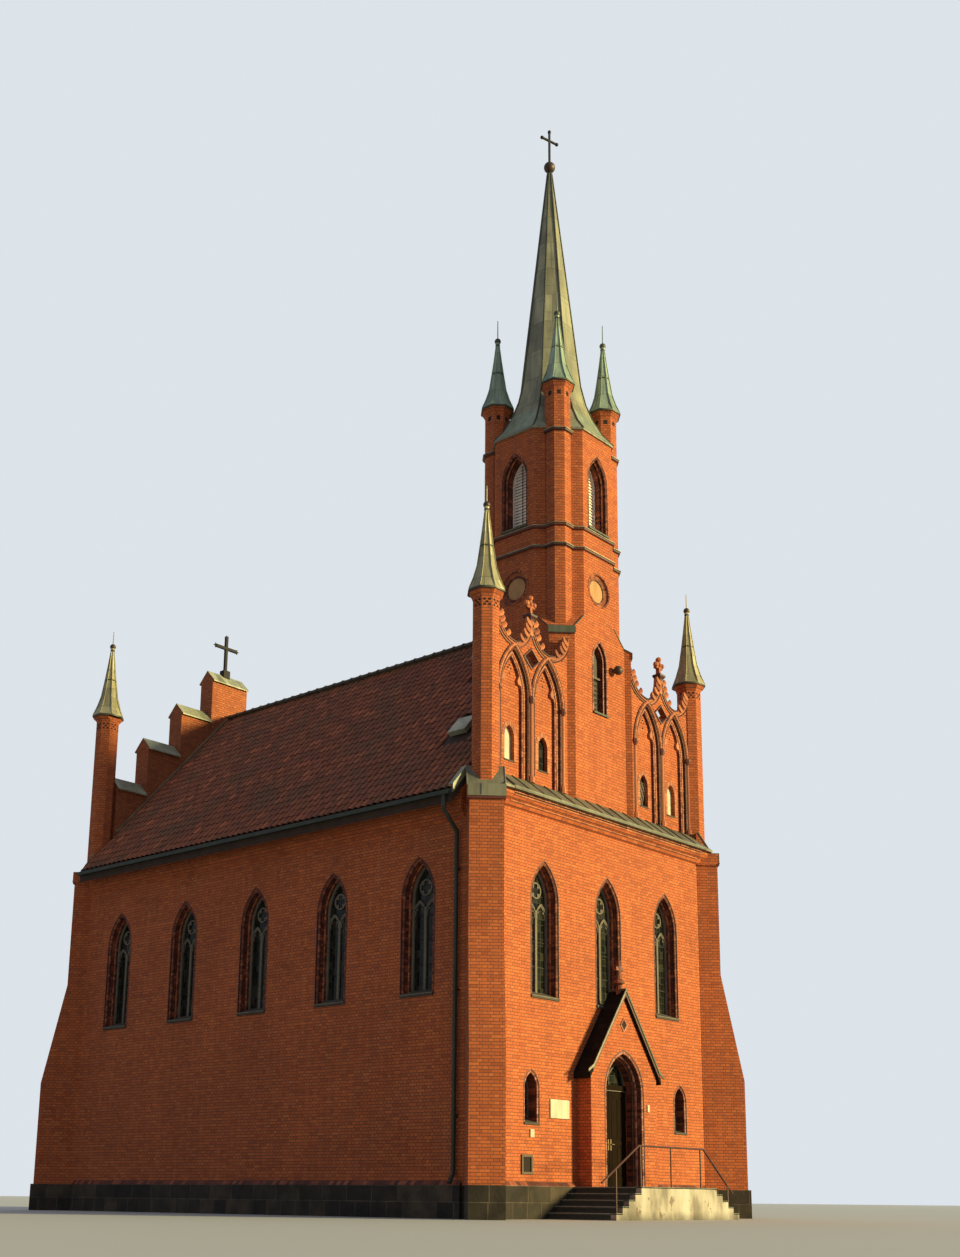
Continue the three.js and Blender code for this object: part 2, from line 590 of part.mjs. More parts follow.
// Rear wall with a stepped gable under saddle copings
function copingSteps() {
  const y0 = LENGTH - END_WALL;
  const steps = [];
  STEP_TOPS.forEach((top, i) => {
    const x1 = STEP_EDGES[i];
    const x0 = i + 1 < STEP_EDGES.length ? STEP_EDGES[i + 1] : -STEP_EDGES[i];
    const apex = [(y0 + LENGTH) / 2, top + COPING_RISE];
    const outline = [[y0 - COPING_OUT, top], [LENGTH + COPING_OUT, top], apex];
    steps.push(alongX(outline, x0, x1));
    if (i + 1 < STEP_EDGES.length) steps.push(alongX(outline, -x1, -x0));
  });
  return steps;
}

function addRearGable() {
  const y0 = LENGTH - END_WALL;
  const outline = [[-STEP_EDGES[0], PLINTH_TOP], [STEP_EDGES[0], PLINTH_TOP]];
  for (let i = 0; i < STEP_TOPS.length; i += 1) {
    outline.push([STEP_EDGES[i], STEP_TOPS[i]]);
    if (i + 1 < STEP_EDGES.length) outline.push([STEP_EDGES[i + 1], STEP_TOPS[i]]);
  }
  for (let i = STEP_TOPS.length - 1; i >= 0; i -= 1) {
    if (i + 1 < STEP_EDGES.length) outline.push([-STEP_EDGES[i + 1], STEP_TOPS[i]]);
    outline.push([-STEP_EDGES[i], STEP_TOPS[i]]);
  }
  const wall = alongY(outline, y0, LENGTH);
  const holes = [-1, 0, 1].map((i) => alongY(pointed(LANCET, i * LANCET_SPACING), y0 - 1, LENGTH + 1));
  const shell = join(wall, ...copingSteps());
  add('rear_gable', cut(shell, ...holes, ...cornerCutters()), BRICK);
  const sheet = box(-REAR_SHEET_HALF, REAR_SHEET_HALF, y0 - GLASS, y0, SHEET_BOTTOM, SHEET_TOP);
  add('rear_glazing', sheet, GLAZING);
  const y = (y0 + LENGTH) / 2;
  const bar = REAR_CROSS_BAR / 2;
  const { half, depth, bottom, top } = REAR_CROSS_FOOT;
  const foot = box(-half, half, y - depth, y + depth, bottom, top);
  const stem = box(-bar, bar, y - bar, y + bar, bottom, REAR_CROSS_TOP);
  const arms = box(-REAR_CROSS_HALF, REAR_CROSS_HALF, y - bar, y + bar, REAR_CROSS_ARM_Z - bar,
    REAR_CROSS_ARM_Z + bar);
  const z = STEP_TOPS[3] + GAP;
  const saddle = alongX([[y0 - COPING_OUT, z], [LENGTH + COPING_OUT, z], [y, z + COPING_RISE]],
    -STEP_EDGES[3], STEP_EDGES[3]);
  add('rear_cross', cut(join(foot, stem, arms), saddle), COPPER);
}

// Roof slopes, notched round the tower, with gutters and rainwater pipes
function addRoof() {
  const y0 = END_WALL;
  const y1 = LENGTH - END_WALL;
  const tower = alongZ(basePlan(GAP), WALL_TOP, RIDGE_Z + 200);
  for (const [name, sign] of SIDES) {
    const edge = roofTop(EAVE_X);
    const outline = [[0, RIDGE_Z], [sign * EAVE_X, edge], [sign * EAVE_X, edge - ROOF_DEPTH],
      [0, RIDGE_Z - ROOF_DEPTH]];
    add(`roof_slope_${name}`, cut(alongY(outline, y0, y1), tower), TILE);
    const lip = edge - GUTTER_DROP;
    const low = lip - GUTTER_HEIGHT;
    const near = EAVE_X + GAP;
    const far = near + GUTTER_WIDTH;
    const gutter = [[near, lip], [near, low], [far, low], [far, lip - 20], [far - GUTTER_SHEET, lip - 20],
      [far - GUTTER_SHEET, low + GUTTER_SHEET], [near + GUTTER_SHEET, low + GUTTER_SHEET],
      [near + GUTTER_SHEET, lip]];
    add(`gutter_${name}`, alongY(gutter.map(([a, b]) => [sign * a, b]), y0, y1), ZINC);
    add(`downpipe_${name}`, join(...downpipe(sign, low - GAP)), ZINC);
  }
  const angle = Math.atan(ROOF_SLOPE);
  const hatch = new THREE.BoxGeometry(HATCH.width, HATCH.length, HATCH.height);
  hatch.translate(0, 0, HATCH.height / 2 + GAP).rotateY(-angle);
  add('roof_hatch', hatch.translate(HATCH.x, HATCH.y, roofTop(HATCH.x)), COPPER);
}

// The pieces of one rainwater pipe: an offset under the gutter, a long drop, a shoe and brackets
function downpipe(sign, top) {
  const wallX = HALF_WIDTH + PIPE_OFFSET;
  const gutterX = EAVE_X + GUTTER_WIDTH / 2;
  const stops = [[gutterX, top], [gutterX, top - PIPE_BENDS[0]], [wallX, top - PIPE_BENDS[1]],
    [wallX, PLINTH_TOP + PIPE_SHOE.turn], [wallX + PIPE_SHOE.out, PLINTH_TOP + PIPE_SHOE.end]];
  const points = stops.map(([x, z]) => new THREE.Vector3(sign * x, PIPE_Y, z));
  const solids = [];
  for (let i = 0; i + 1 < points.length; i += 1) {
    solids.push(rod(points[i], points[i + 1], PIPE_RADIUS, i > 0 ? 40 : 0));
  }
  for (const z of PIPE_BRACKETS) {
    solids.push(sideBox(sign, HALF_WIDTH + GAP, wallX + 10, PIPE_Y - 60, PIPE_Y + 60, z, z + BRACKET_HEIGHT));
  }
  return solids;
}

// Plan of the square tower stage, whose corners run out into diagonal buttresses
function basePlan(grow = 0) {
  const points = [];
  const reach = BASE_ARM_REACH + grow;
  const half = BASE_ARM_HALF + grow;
  const face = TOWER_APOTHEM + grow;
  for (let i = 0; i < 4; i += 1) {
    const angle = Math.PI / 4 + i * Math.PI / 2;
    const out = [Math.cos(angle), Math.sin(angle)];
    const side = [-Math.sin(angle), Math.cos(angle)];
    const meet = face * Math.SQRT2 - half;
    for (const [distance, offset] of [[meet, -half], [reach, -half], [reach, half], [meet, half]]) {
      points.push([out[0] * distance + side[0] * offset, TOWER_Y + out[1] * distance + side[1] * offset]);
    }
  }
  return points;
}

// The centre of the tower turret on one diagonal
function towerTurretCentre(sx, sy) {
  const reach = TOWER_TURRET_REACH / Math.SQRT2;
  return [sx * reach, TOWER_Y + sy * reach];
}

// A slab across one diagonal of the tower, between two distances from its centre
function diagonalSlab(near, far, sx, sy, z0, z1) {
  const outline = [[near, z0], [far, z0], [far, z1], [near, z1]];
  return cornerArm(outline, 2 * TOWER_APOTHEM, 0, TOWER_Y, sx, sy);
}

// The room that the tower's masonry leaves for its turrets
function turretPockets(z0, z1) {
  return DIAGONALS.map(([sx, sy]) => {
    const shaft = octagonPrism(TOWER_TURRET_APOTHEM + GAP, z0, z1, ...towerTurretCentre(sx, sy));
    return common(shaft, diagonalSlab(TOWER_TURRET_BACK - GAP, FAR, sx, sy, z0, z1));
  });
}

function addTowerBase() {
  const block = alongZ(basePlan(), WALL_TOP, SHOULDER_TOP);
  const hollow = TOWER_APOTHEM - BASE_WALL;
  const room = box(-hollow, hollow, TOWER_Y - hollow, TOWER_Y + hollow, WALL_TOP - 1, SHOULDER_TOP + 1);
  const inside = octagonPrism(BASE_INSIDE_APOTHEM, WALL_TOP - 1, SHOULDER_TOP + 1, 0, TOWER_Y);
  const end = BASE_ARM_REACH + 200;
  const drop = SHOULDER_SLOPE * (end - TOWER_APOTHEM);
  const outline = [[TOWER_APOTHEM, SHOULDER_TOP], [end, SHOULDER_TOP - drop], [end, SHOULDER_TOP + 10],
    [TOWER_APOTHEM, SHOULDER_TOP + 10]];
  const shoulders = DIAGONALS.map(([sx, sy]) => cornerArm(outline, FAR, 0, TOWER_Y, sx, sy));
  const lancet = alongY(pointed(BASE_LANCET), TOWER_Y - TOWER_APOTHEM - 1, TOWER_Y);
  const pockets = turretPockets(TOWER_TURRET_FOOT, SHOULDER_TOP + 20);
  add('tower_base', cut(block, common(room, inside), ...shoulders, lancet, ...pockets), BRICK);
  const front = TOWER_Y - TOWER_APOTHEM + BASE_PANE_DEPTH;
  add('tower_window', alongY(pointed(BASE_LANCET, 0, -GAP), front, front + GLASS), LOUVRE);
  const { spring, haunch, haunchIn, crown } = INNER_ARCH;
  const arch = [[-TOWER_APOTHEM, PLINTH_TOP], [-hollow, PLINTH_TOP], [-hollow, spring],
    [-hollow + haunchIn, haunch], [0, crown], [hollow - haunchIn, haunch], [hollow, spring],
    [hollow, PLINTH_TOP], [TOWER_APOTHEM, PLINTH_TOP], [TOWER_APOTHEM, WALL_TOP], [-TOWER_APOTHEM, WALL_TOP]];
  add('tower_inner_arch', alongY(arch, TOWER_Y + hollow, TOWER_Y + TOWER_APOTHEM), BRICK);
}

function addBelfry() {
  const outer = TOWER_APOTHEM;
  const inner = TOWER_APOTHEM - TOWER_WALL;
  const shell = octagonal([[outer, SHOULDER_TOP], [outer, OCTAGON_TOP], [inner, OCTAGON_TOP],
    [inner, SHOULDER_TOP], [outer, SHOULDER_TOP]], 0, TOWER_Y);
  const tools = [];
  for (let i = 0; i < 4; i += 1) {
    const turn = (geometry) => geometry.rotateZ(i * Math.PI / 2).translate(0, TOWER_Y, 0);
    tools.push(turn(alongY(pointed(BELFRY_LANCET), inner - 40, outer + 10)));
    const oculus = new THREE.CylinderGeometry(OCULUS_RADIUS, OCULUS_RADIUS, OCULUS_DEPTH + 10, 20);
    tools.push(turn(oculus.translate(0, outer - OCULUS_DEPTH / 2 + 5, OCULUS_Z)));
  }
  const ring = inner - GAP;
  const sheet = inner - LOUVRE_SHEET;
  add('belfry_louvres', octagonal([[ring, LOUVRE_BOTTOM], [ring, LOUVRE_TOP], [sheet, LOUVRE_TOP],
    [sheet, LOUVRE_BOTTOM], [ring, LOUVRE_BOTTOM]], 0, TOWER_Y), LOUVRE);
  add('tower_belfry', cut(shell, ...tools, ...turretPockets(SHOULDER_TOP - 1, OCTAGON_TOP + 1)), BRICK);
}

function addTowerTurrets() {
  const foot = TOWER_TURRET_FOOT + GAP;
  const eave = TOWER_TURRET_EAVE_Z;
  const eaveApothem = TOWER_TURRET_EAVE_APOTHEM;
  const profile = turretProfile(TOWER_TURRET_APOTHEM, eaveApothem, foot, eave);
  for (const [sx, sy] of DIAGONALS) {
    const name = `${sy < 0 ? 'front' : 'rear'}_${sx < 0 ? 'left' : 'right'}`;
    const [x, y] = towerTurretCentre(sx, sy);
    const inside = diagonalSlab(0, TOWER_TURRET_BACK, sx, sy, foot - 10, OCTAGON_TOP + GAP);
    add(`tower_turret_${name}`, cut(octagonal(profile, x, y), inside), BRICK);
    const cap = spirelet(x, y, eave, eaveApothem, TOWER_TURRET_BALL_Z, TOWER_TURRET_TIP_Z);
    add(`tower_spirelet_${name}`, cap, COPPER);
  }
}

function addSpire() {
  const above = ([apothem, up]) => [apothem, OCTAGON_TOP + up];
  const outer = [...SPIRE_OUTSIDE.map(above), [SPIRE_TIP, SPIRE_TOP], [0, SPIRE_TOP]];
  const inner = [[0, SPIRE_INSIDE_TOP], ...SPIRE_INSIDE.map(above)];
  const turrets = DIAGONALS.map(([sx, sy]) => octagonPrism(TOWER_TURRET_APOTHEM + 1, OCTAGON_TOP - 10,
    OCTAGON_TOP + FAR, ...towerTurretCentre(sx, sy)));
  add('spire', cut(octagonal([...inner, ...outer], 0, TOWER_Y), ...turrets), COPPER);
  const r = SPIRE_BALL_RADIUS;
  const ball = [2, 3, 4, 5, 6].map((i) => {
    const angle = Math.PI * i / 8;
    return [r * Math.sin(angle), SPIRE_BALL_Z - r * Math.cos(angle)];
  });
  const stemTop = CROSS_TOP - 60;
  const post = [[0, SPIRE_TOP], [50, SPIRE_TOP], [50, SPIRE_BALL_Z - 0.93 * r], ...ball,
    [28, SPIRE_BALL_Z + 0.99 * r], [28, stemTop], [0, stemTop]];
  const bar = CROSS_BAR / 2;
  const stem = box(-bar, bar, -bar, bar, SPIRE_BALL_Z + r, CROSS_TOP);
  const arms = box(-CROSS_HALF, CROSS_HALF, -bar, bar, CROSS_ARM_Z - bar, CROSS_ARM_Z + bar);
  const cross = join(stem, arms).rotateZ(CROSS_TURN).translate(0, TOWER_Y, 0);
  add('spire_cross', join(octagonal(post, 0, TOWER_Y), cross), COPPER);
}

// Porch: a shallow gabled block of brick round a stepped arch
function addPorch() {
  const fall = (PORCH_RIDGE_Z - PORCH_EAVE_Z) / PORCH_EAVE_X;
  const under = (x) => PORCH_RIDGE_Z - fall * x - PORCH_ROOF_DEPTH - GAP;
  const outline = [[-PORCH_HALF, PLINTH_TOP], [PORCH_HALF, PLINTH_TOP], [PORCH_HALF, under(PORCH_HALF)],
    [0, under(0)], [-PORCH_HALF, under(PORCH_HALF)]];
  const block = alongY(outline, PORCH_FRONT, 0);
  const outer = alongY(pointed(PORCH_ARCH), PORCH_FRONT - 1, PORCH_ARCH_STEP);
  const inner = alongY(pointed(PORCH_ARCH_INNER), PORCH_FRONT - 1, 1);
  add('porch_walls', cut(block, outer, inner), BRICK);
  const eaveUnder = PORCH_EAVE_Z - PORCH_ROOF_DEPTH;
  const roof = [[0, PORCH_RIDGE_Z], [PORCH_EAVE_X, PORCH_EAVE_Z], [PORCH_EAVE_X, eaveUnder],
    [0, PORCH_RIDGE_Z - PORCH_ROOF_DEPTH], [-PORCH_EAVE_X, eaveUnder],
    [-PORCH_EAVE_X, PORCH_EAVE_Z]];
  add('porch_roof', alongY(roof, PORCH_ROOF_FRONT, 0), TILE);
  const stem = octagonal([[0, FINIAL_FOOT], ...FINIAL_PROFILE.map(([out, up]) => [out, FINIAL_FOOT + up]),
    [45, FINIAL_TOP], [0, FINIAL_TOP]], 0, FINIAL_Y);
  const { half, thick, bottom, top } = FINIAL_ARMS;
  const arms = box(-half, half, FINIAL_Y - thick / 2, FINIAL_Y + thick / 2, bottom, top);
  const ridge = roof.map(([x, z]) => [x, z + GAP]);
  add('porch_finial', cut(join(stem, arms), alongY(ridge, PORCH_ROOF_FRONT, 0)), BRICK);
}

// Double doors in a timber frame, hung on the inner face
function addDoors() {
  const inner = DOORWAY_HALF - FRAME_WIDTH;
  const jambs = [box(-DOORWAY_HALF, -inner, FRAME_FRONT, FRAME_BACK, PLINTH_TOP, TRANSOM_Z),
    box(inner, DOORWAY_HALF, FRAME_FRONT, FRAME_BACK, PLINTH_TOP, TRANSOM_Z),
    box(-DOORWAY_HALF, DOORWAY_HALF, FRAME_FRONT, FRAME_BACK, LEAF_TOP + HEAD_GAP, TRANSOM_Z)];
  const strapBack = FRAME_BACK + STRAP_THICK;
  for (const [name, sign] of SIDES) {
    const leaf = sideBox(sign, LEAF_MIDDLE_GAP, LEAF_EDGE_X, LEAF_FRONT, FRAME_BACK, LEAF_BOTTOM, LEAF_TOP);
    const parts = [leaf];
    for (const z of HINGE_LEVELS) {
      const top = z + HINGE_LENGTH;
      const low = z - HINGE_LENGTH - GAP;
      parts.push(cylinder(HINGE_RADIUS, z, top, sign * HINGE_X, HINGE_Y));
      parts.push(sideBox(sign, HINGE_X - STRAP_LENGTH, HINGE_X, FRAME_BACK - 1, strapBack, z, top));
      jambs.push(cylinder(HINGE_RADIUS, low, z - GAP, sign * HINGE_X, HINGE_Y));
      jambs.push(sideBox(sign, HINGE_X, DOORWAY_HALF, FRAME_BACK - 1, strapBack, low, z - GAP));
    }
    add(`door_leaf_${name}`, join(...parts), TIMBER);
  }
  add('door_frame', join(...jambs), TIMBER);
}

// Landing between two flights, behind a rendered front wall
function addStairs() {
  const riser = PLINTH_TOP / TREADS;
  const back = -PLINTH_OUT;
  const middle = STAIR_FRONT + CHEEK_THICK;
  add('stair_landing', box(-LANDING_HALF, LANDING_HALF, middle, back, 0, PLINTH_TOP), GRANITE);
  const outline = [[-LANDING_HALF, PLINTH_TOP], [LANDING_HALF, PLINTH_TOP]];
  for (const [name, sign] of SIDES) {
    const steps = [[sign * LANDING_HALF, 0], [sign * LANDING_HALF, PLINTH_TOP - riser]];
    for (let i = 1; i < TREADS; i += 1) {
      const x = sign * (LANDING_HALF + i * GOING);
      steps.push([x, PLINTH_TOP - i * riser]);
      steps.push([x, i + 1 < TREADS ? PLINTH_TOP - (i + 1) * riser : 0]);
    }
    add(`stair_flight_${name}`, alongY(steps, middle, back), GRANITE);
    const edge = steps.slice(1);
    if (sign > 0) outline.push(...edge);
    else outline.unshift(...edge.slice().reverse());
  }
  add('stair_cheek', alongY(outline, STAIR_FRONT, middle), RENDER);
}

// The handrail's height over a point, on the straight between two bends
function railHeight(x) {
  const i = RAIL_BENDS.findIndex(([bendX]) => bendX > x);
  const [x0, z0] = RAIL_BENDS[i - 1];
  const [x1, z1] = RAIL_BENDS[i];
  return z0 + (z1 - z0) * (x - x0) / (x1 - x0);
}

// Handrail along the front of the landing, sloping down both flights
function addHandrail() {
  const solids = RAIL_POSTS.map(([x, foot]) => cylinder(RAIL_POST_RADIUS, foot, railHeight(x), x, RAIL_Y, 8));
  const bends = RAIL_BENDS.map(([x, z]) => new THREE.Vector3(x, RAIL_Y, z));
  for (let i = 0; i + 1 < bends.length; i += 1) solids.push(rod(bends[i], bends[i + 1], RAIL_RADIUS, 20));
  add('handrail', join(...solids), IRON);
}

addPlinth();
addCornerTurrets();
addFrontWall();
addLedge();
addArcades();
addNaveWalls();
addRearGable();
addRoof();
addTowerBase();
addBelfry();
addTowerTurrets();
addSpire();
addPorch();
addDoors();
addStairs();
addHandrail();

export default church;
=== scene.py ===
import math
import random

import bmesh
import bpy
from mathutils import Matrix, Vector


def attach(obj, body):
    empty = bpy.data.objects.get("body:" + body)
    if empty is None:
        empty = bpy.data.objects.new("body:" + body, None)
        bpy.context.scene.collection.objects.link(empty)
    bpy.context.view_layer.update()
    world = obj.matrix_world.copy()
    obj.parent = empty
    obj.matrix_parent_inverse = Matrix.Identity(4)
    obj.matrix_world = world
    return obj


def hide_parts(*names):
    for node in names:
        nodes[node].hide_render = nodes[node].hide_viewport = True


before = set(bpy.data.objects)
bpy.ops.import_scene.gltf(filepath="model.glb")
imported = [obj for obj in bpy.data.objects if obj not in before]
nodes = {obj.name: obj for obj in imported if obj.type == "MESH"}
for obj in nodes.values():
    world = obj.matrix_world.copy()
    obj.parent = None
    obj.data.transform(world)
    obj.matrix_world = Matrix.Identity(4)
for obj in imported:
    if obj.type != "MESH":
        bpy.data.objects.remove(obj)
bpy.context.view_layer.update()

# Sizes that the scene shares with the part
PLINTH_TOP = 0.72
LENGTH = 15.7
HALF_WIDTH = 4.75
PIER_INNER_X = 4.15
RIDGE_Z = 15.59
ROOF_SLOPE = 1.129
EAVE_X = 5.25
ROOF_ENDS = (0.6, 15.1)
LANCET_SPACING = 2.55
NAVE_BAYS = [LENGTH / 2 + (i - 2) * 2.9 for i in range(5)]
SMALL_LANCET_X = 3.06
CORNER = (4.43, 0.28)
CORNER_CAP_HALF = 0.44
TURRET_APOTHEM = 0.31
TURRET_EAVE = (0.43, 14.6)
TURRET_BALL = 16.9
ARCADE_FRONT = 0.18
ARCADE_STEP = 0.08
ARCADE_BACK = 0.16
ARCADE_MID_X = 2.83
ARCADE_BAY = 1.3
ARCADE_VALLEY = 13.62
ARCADE_PEAK = 14.42
ARCADE_SIDE_PEAK = 14.3
LEDGE_TOP = 10.19
LEDGE_OUT = 0.35
TOWER_Y = 1.74
TOWER_APOTHEM = 1.58
ARM_HALF = 0.33
ARM_REACH = 2.085
TOWER_TURRET_REACH = 1.49
TOWER_TURRET_APOTHEM = 0.33
TOWER_TURRET_EAVE = (0.435, 21.75)
TOWER_TURRET_BALL = 23.95
SPIRE_FOOT = 20.45
SPIRE = [(1.63, 0.05), (1.35, 0.42), (1.11, 0.9), (0.93, 1.4), (0.8, 2.0), (0.06, 9.01)]
SPIRE_BALL = 29.69
SPIRE_CROSS_TURN = -0.25
OCULUS_Z = 16.05
STEP_EDGES = [4.15, 3.1, 1.9, 0.72]
STEP_TOPS = [12.38, 13.89, 15.33, 16.76]
GABLE_THICK = 0.6
PORCH_FRONT = -0.42
PORCH_RIDGE = 5.43
PORCH_EAVE = (1.47, 3.37)
STAIR_FRONT = -1.95
STAIR_CHEEK = 0.15
LANDING_HALF = 1.57
RISER = 0.144
GOING = 0.245

# A row of bricks with its joint, and the joint between moulded bricks
COURSE = 0.075
JOINT = 0.007

# Pantiles side by side along the roof
TILE_COLUMNS = 67
TILE_WIDTH = (ROOF_ENDS[1] - ROOF_ENDS[0]) / TILE_COLUMNS

DIAGONALS = [(-1, -1), (1, -1), (-1, 1), (1, 1)]
TOWER_AXIS = (0, TOWER_Y)


def placed(x, y, degrees=0.0):
    """Axes of a wall whose face stands at x, y: its own x to the right, y into the wall, z up."""
    return Matrix.Translation((x, y, 0)) @ Matrix.Rotation(math.radians(degrees), 4, "Z")


def deeper(place, depth):
    """The same axes, moved into the wall."""
    return place @ Matrix.Translation((0, depth, 0))


def tower_face(i):
    """Axes of one of the tower's four main faces, counted from the front."""
    return deeper(placed(0, TOWER_Y, 90 * i), -TOWER_APOTHEM)


def turret_centres():
    """The four corner turrets: x, y, apothem, eave's apothem, eave's height, ball's height."""
    for sx, sy in DIAGONALS:
        y = CORNER[1] if sy < 0 else LENGTH - CORNER[1]
        yield sx * CORNER[0], y, TURRET_APOTHEM, *TURRET_EAVE, TURRET_BALL


def tower_turret_centres():
    """The same of the tower's four turrets."""
    reach = TOWER_TURRET_REACH / math.sqrt(2)
    for sx, sy in DIAGONALS:
        y = TOWER_Y + sy * reach
        yield sx * reach, y, TOWER_TURRET_APOTHEM, *TOWER_TURRET_EAVE, TOWER_TURRET_BALL


def span(sign, a, b):
    """Two places on one side of the middle, the lower first."""
    return sorted((sign * a, sign * b))


def octagon(centre, profile):
    """A profile of (apothem, z), at each of the eight arrises round a centre."""
    x, y = centre
    grow = 1 / math.cos(math.pi / 8)
    turns = [math.radians(22.5) + k * math.pi / 4 for k in range(8)]
    return [[(x + a * grow * math.cos(t), y + a * grow * math.sin(t), z) for a, z in profile] for t in turns]


def in_scene(name, data):
    """A new object of the scene."""
    piece = bpy.data.objects.new(name, data)
    bpy.context.scene.collection.objects.link(piece)
    return piece


def roll(g, d, r, sides=6):
    """A round bar's section, centred at (outwards, depth)."""
    turns = [2 * math.pi * (k + 0.5) / sides for k in range(sides)]
    return [(g + r * math.cos(t), d + r * math.sin(t)) for t in turns]


def flat(g0, g1, d0, d1):
    """A square order's section."""
    return [(g0, d0), (g1, d0), (g1, d1), (g0, d1)]


class Shape:
    """Closed solids gathered into one mesh, each with the number of its material."""

    def __init__(self):
        self.points = []
        self.faces = []
        self.numbers = []

    def loft(self, rings, number=0, place=None, closed=False):
        """A solid through rings of points, capped at its ends, or closed on itself."""
        base = len(self.points)
        count = len(rings[0])
        for ring in rings:
            self.points += [place @ Vector(p) if place else Vector(p) for p in ring]
        before = len(self.faces)
        for i in range(len(rings) if closed else len(rings) - 1):
            a = base + i * count
            b = base + (i + 1) % len(rings) * count
            for j in range(count):
                k = (j + 1) % count
                self.faces.append((a + j, a + k, b + k, b + j))
        if not closed:
            last = base + (len(rings) - 1) * count
            self.faces.append(tuple(base + j for j in reversed(range(count))))
            self.faces.append(tuple(last + j for j in range(count)))
        self.numbers += [number] * (len(self.faces) - before)

    def prism(self, outline, d0, d1, number=0, place=None):
        """An outline in the wall's plane, carried from one depth to another."""
        self.loft([[(u, d, z) for u, z in outline] for d in (d0, d1)], number, place)

    def run(self, profile, ends, number=0, place=None):
        """A profile of (depth, height), carried along the wall between two ends."""
        self.loft([[(u, d, z) for d, z in profile] for u in ends], number, place)

    def box(self, low, high, number=0, place=None):
        (x0, y0, z0), (x1, y1, z1) = low, high
        self.prism([(x0, z0), (x1, z0), (x1, z1), (x0, z1)], y0, y1, number, place)

    def tube(self, points, radius, sides=8, number=0, place=None):
        """A round bar along points. A radius may be one number or one for each point."""
        points = [Vector(p) for p in points]
        radii = radius if isinstance(radius, (list, tuple)) else [radius] * len(points)
        turns = [2 * math.pi * k / sides for k in range(sides)]
        last = len(points) - 1
        rings = []
        side = None
        for i, p in enumerate(points):
            along = (points[min(i + 1, last)] - points[max(i - 1, 0)]).normalized()
            if side is None:
                side = along.cross(Vector((0.31, 0.17, 0.93))).normalized()
            side = (side - along * side.dot(along)).normalized()
            up = along.cross(side)
            rings.append([p + radii[i] * (side * math.cos(t) + up * math.sin(t)) for t in turns])
        self.loft(rings, number, place)

    def rim(self, corners, radius, number=0, place=None):
        """Round bars from corner to corner, back to the first."""
        for a, b in zip(corners, corners[1:] + corners[:1]):
            self.tube([a, b], radius, 6, number, place)

    def lathe(self, profile, centre, sides=8, number=0, flat=True, place=None):
        """A turned solid on an upright axis. The profile is (radius, z), to the flats if flat."""
        x, y = centre
        grow = 1 / math.cos(math.pi / sides) if flat else 1
        turns = [math.pi / sides + 2 * math.pi * k / sides for k in range(sides)]
        rings = [[(x + r * grow * math.cos(t), y + r * grow * math.sin(t), z) for t in turns]
                 for r, z in profile]
        self.loft(rings, number, place)

    def ball(self, centre, radius, z, number=0, sides=16):
        """A turned ball with its middle at a height."""
        turns = [math.pi * i / 12 for i in range(1, 12)]
        profile = [(radius * math.sin(t), z - radius * math.cos(t)) for t in turns]
        self.lathe(profile, centre, sides, number, flat=False)

    def hoop(self, centre, radius, section, count, number=0, place=None, gap=0.0):
        """A ring in the wall's plane, whole or in separate blocks. The section is (outwards, depth)."""
        def ring(turn):
            across, up = math.cos(turn), math.sin(turn)
            return [(u + (radius + g) * across, d, z + (radius + g) * up) for g, d in section]
        u, z = centre
        step = 2 * math.pi / count
        if gap:
            part = gap / radius / 2
            for i in range(count):
                self.loft([ring(i * step + part), ring((i + 1) * step - part)], number, place)
        else:
            self.loft([ring(i * step) for i in range(count)], number, place, closed=True)

    def make(self, name, materials, slot, body="church", smooth=None):
        """The gathered solids as one piece of the scene."""
        mesh = bpy.data.meshes.new(name)
        mesh.from_pydata(self.points, [], self.faces)
        for material in materials:
            mesh.materials.append(material)
        mesh.polygons.foreach_set("material_index", self.numbers)
        work = bmesh.new()
        work.from_mesh(mesh)
        bmesh.ops.recalc_face_normals(work, faces=work.faces)
        work.to_mesh(mesh)
        work.free()
        if smooth is not None:
            mesh.shade_smooth()
            mesh.set_sharp_from_angle(angle=math.radians(smooth))
        piece = in_scene(name, mesh)
        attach(piece, body)
        return piece


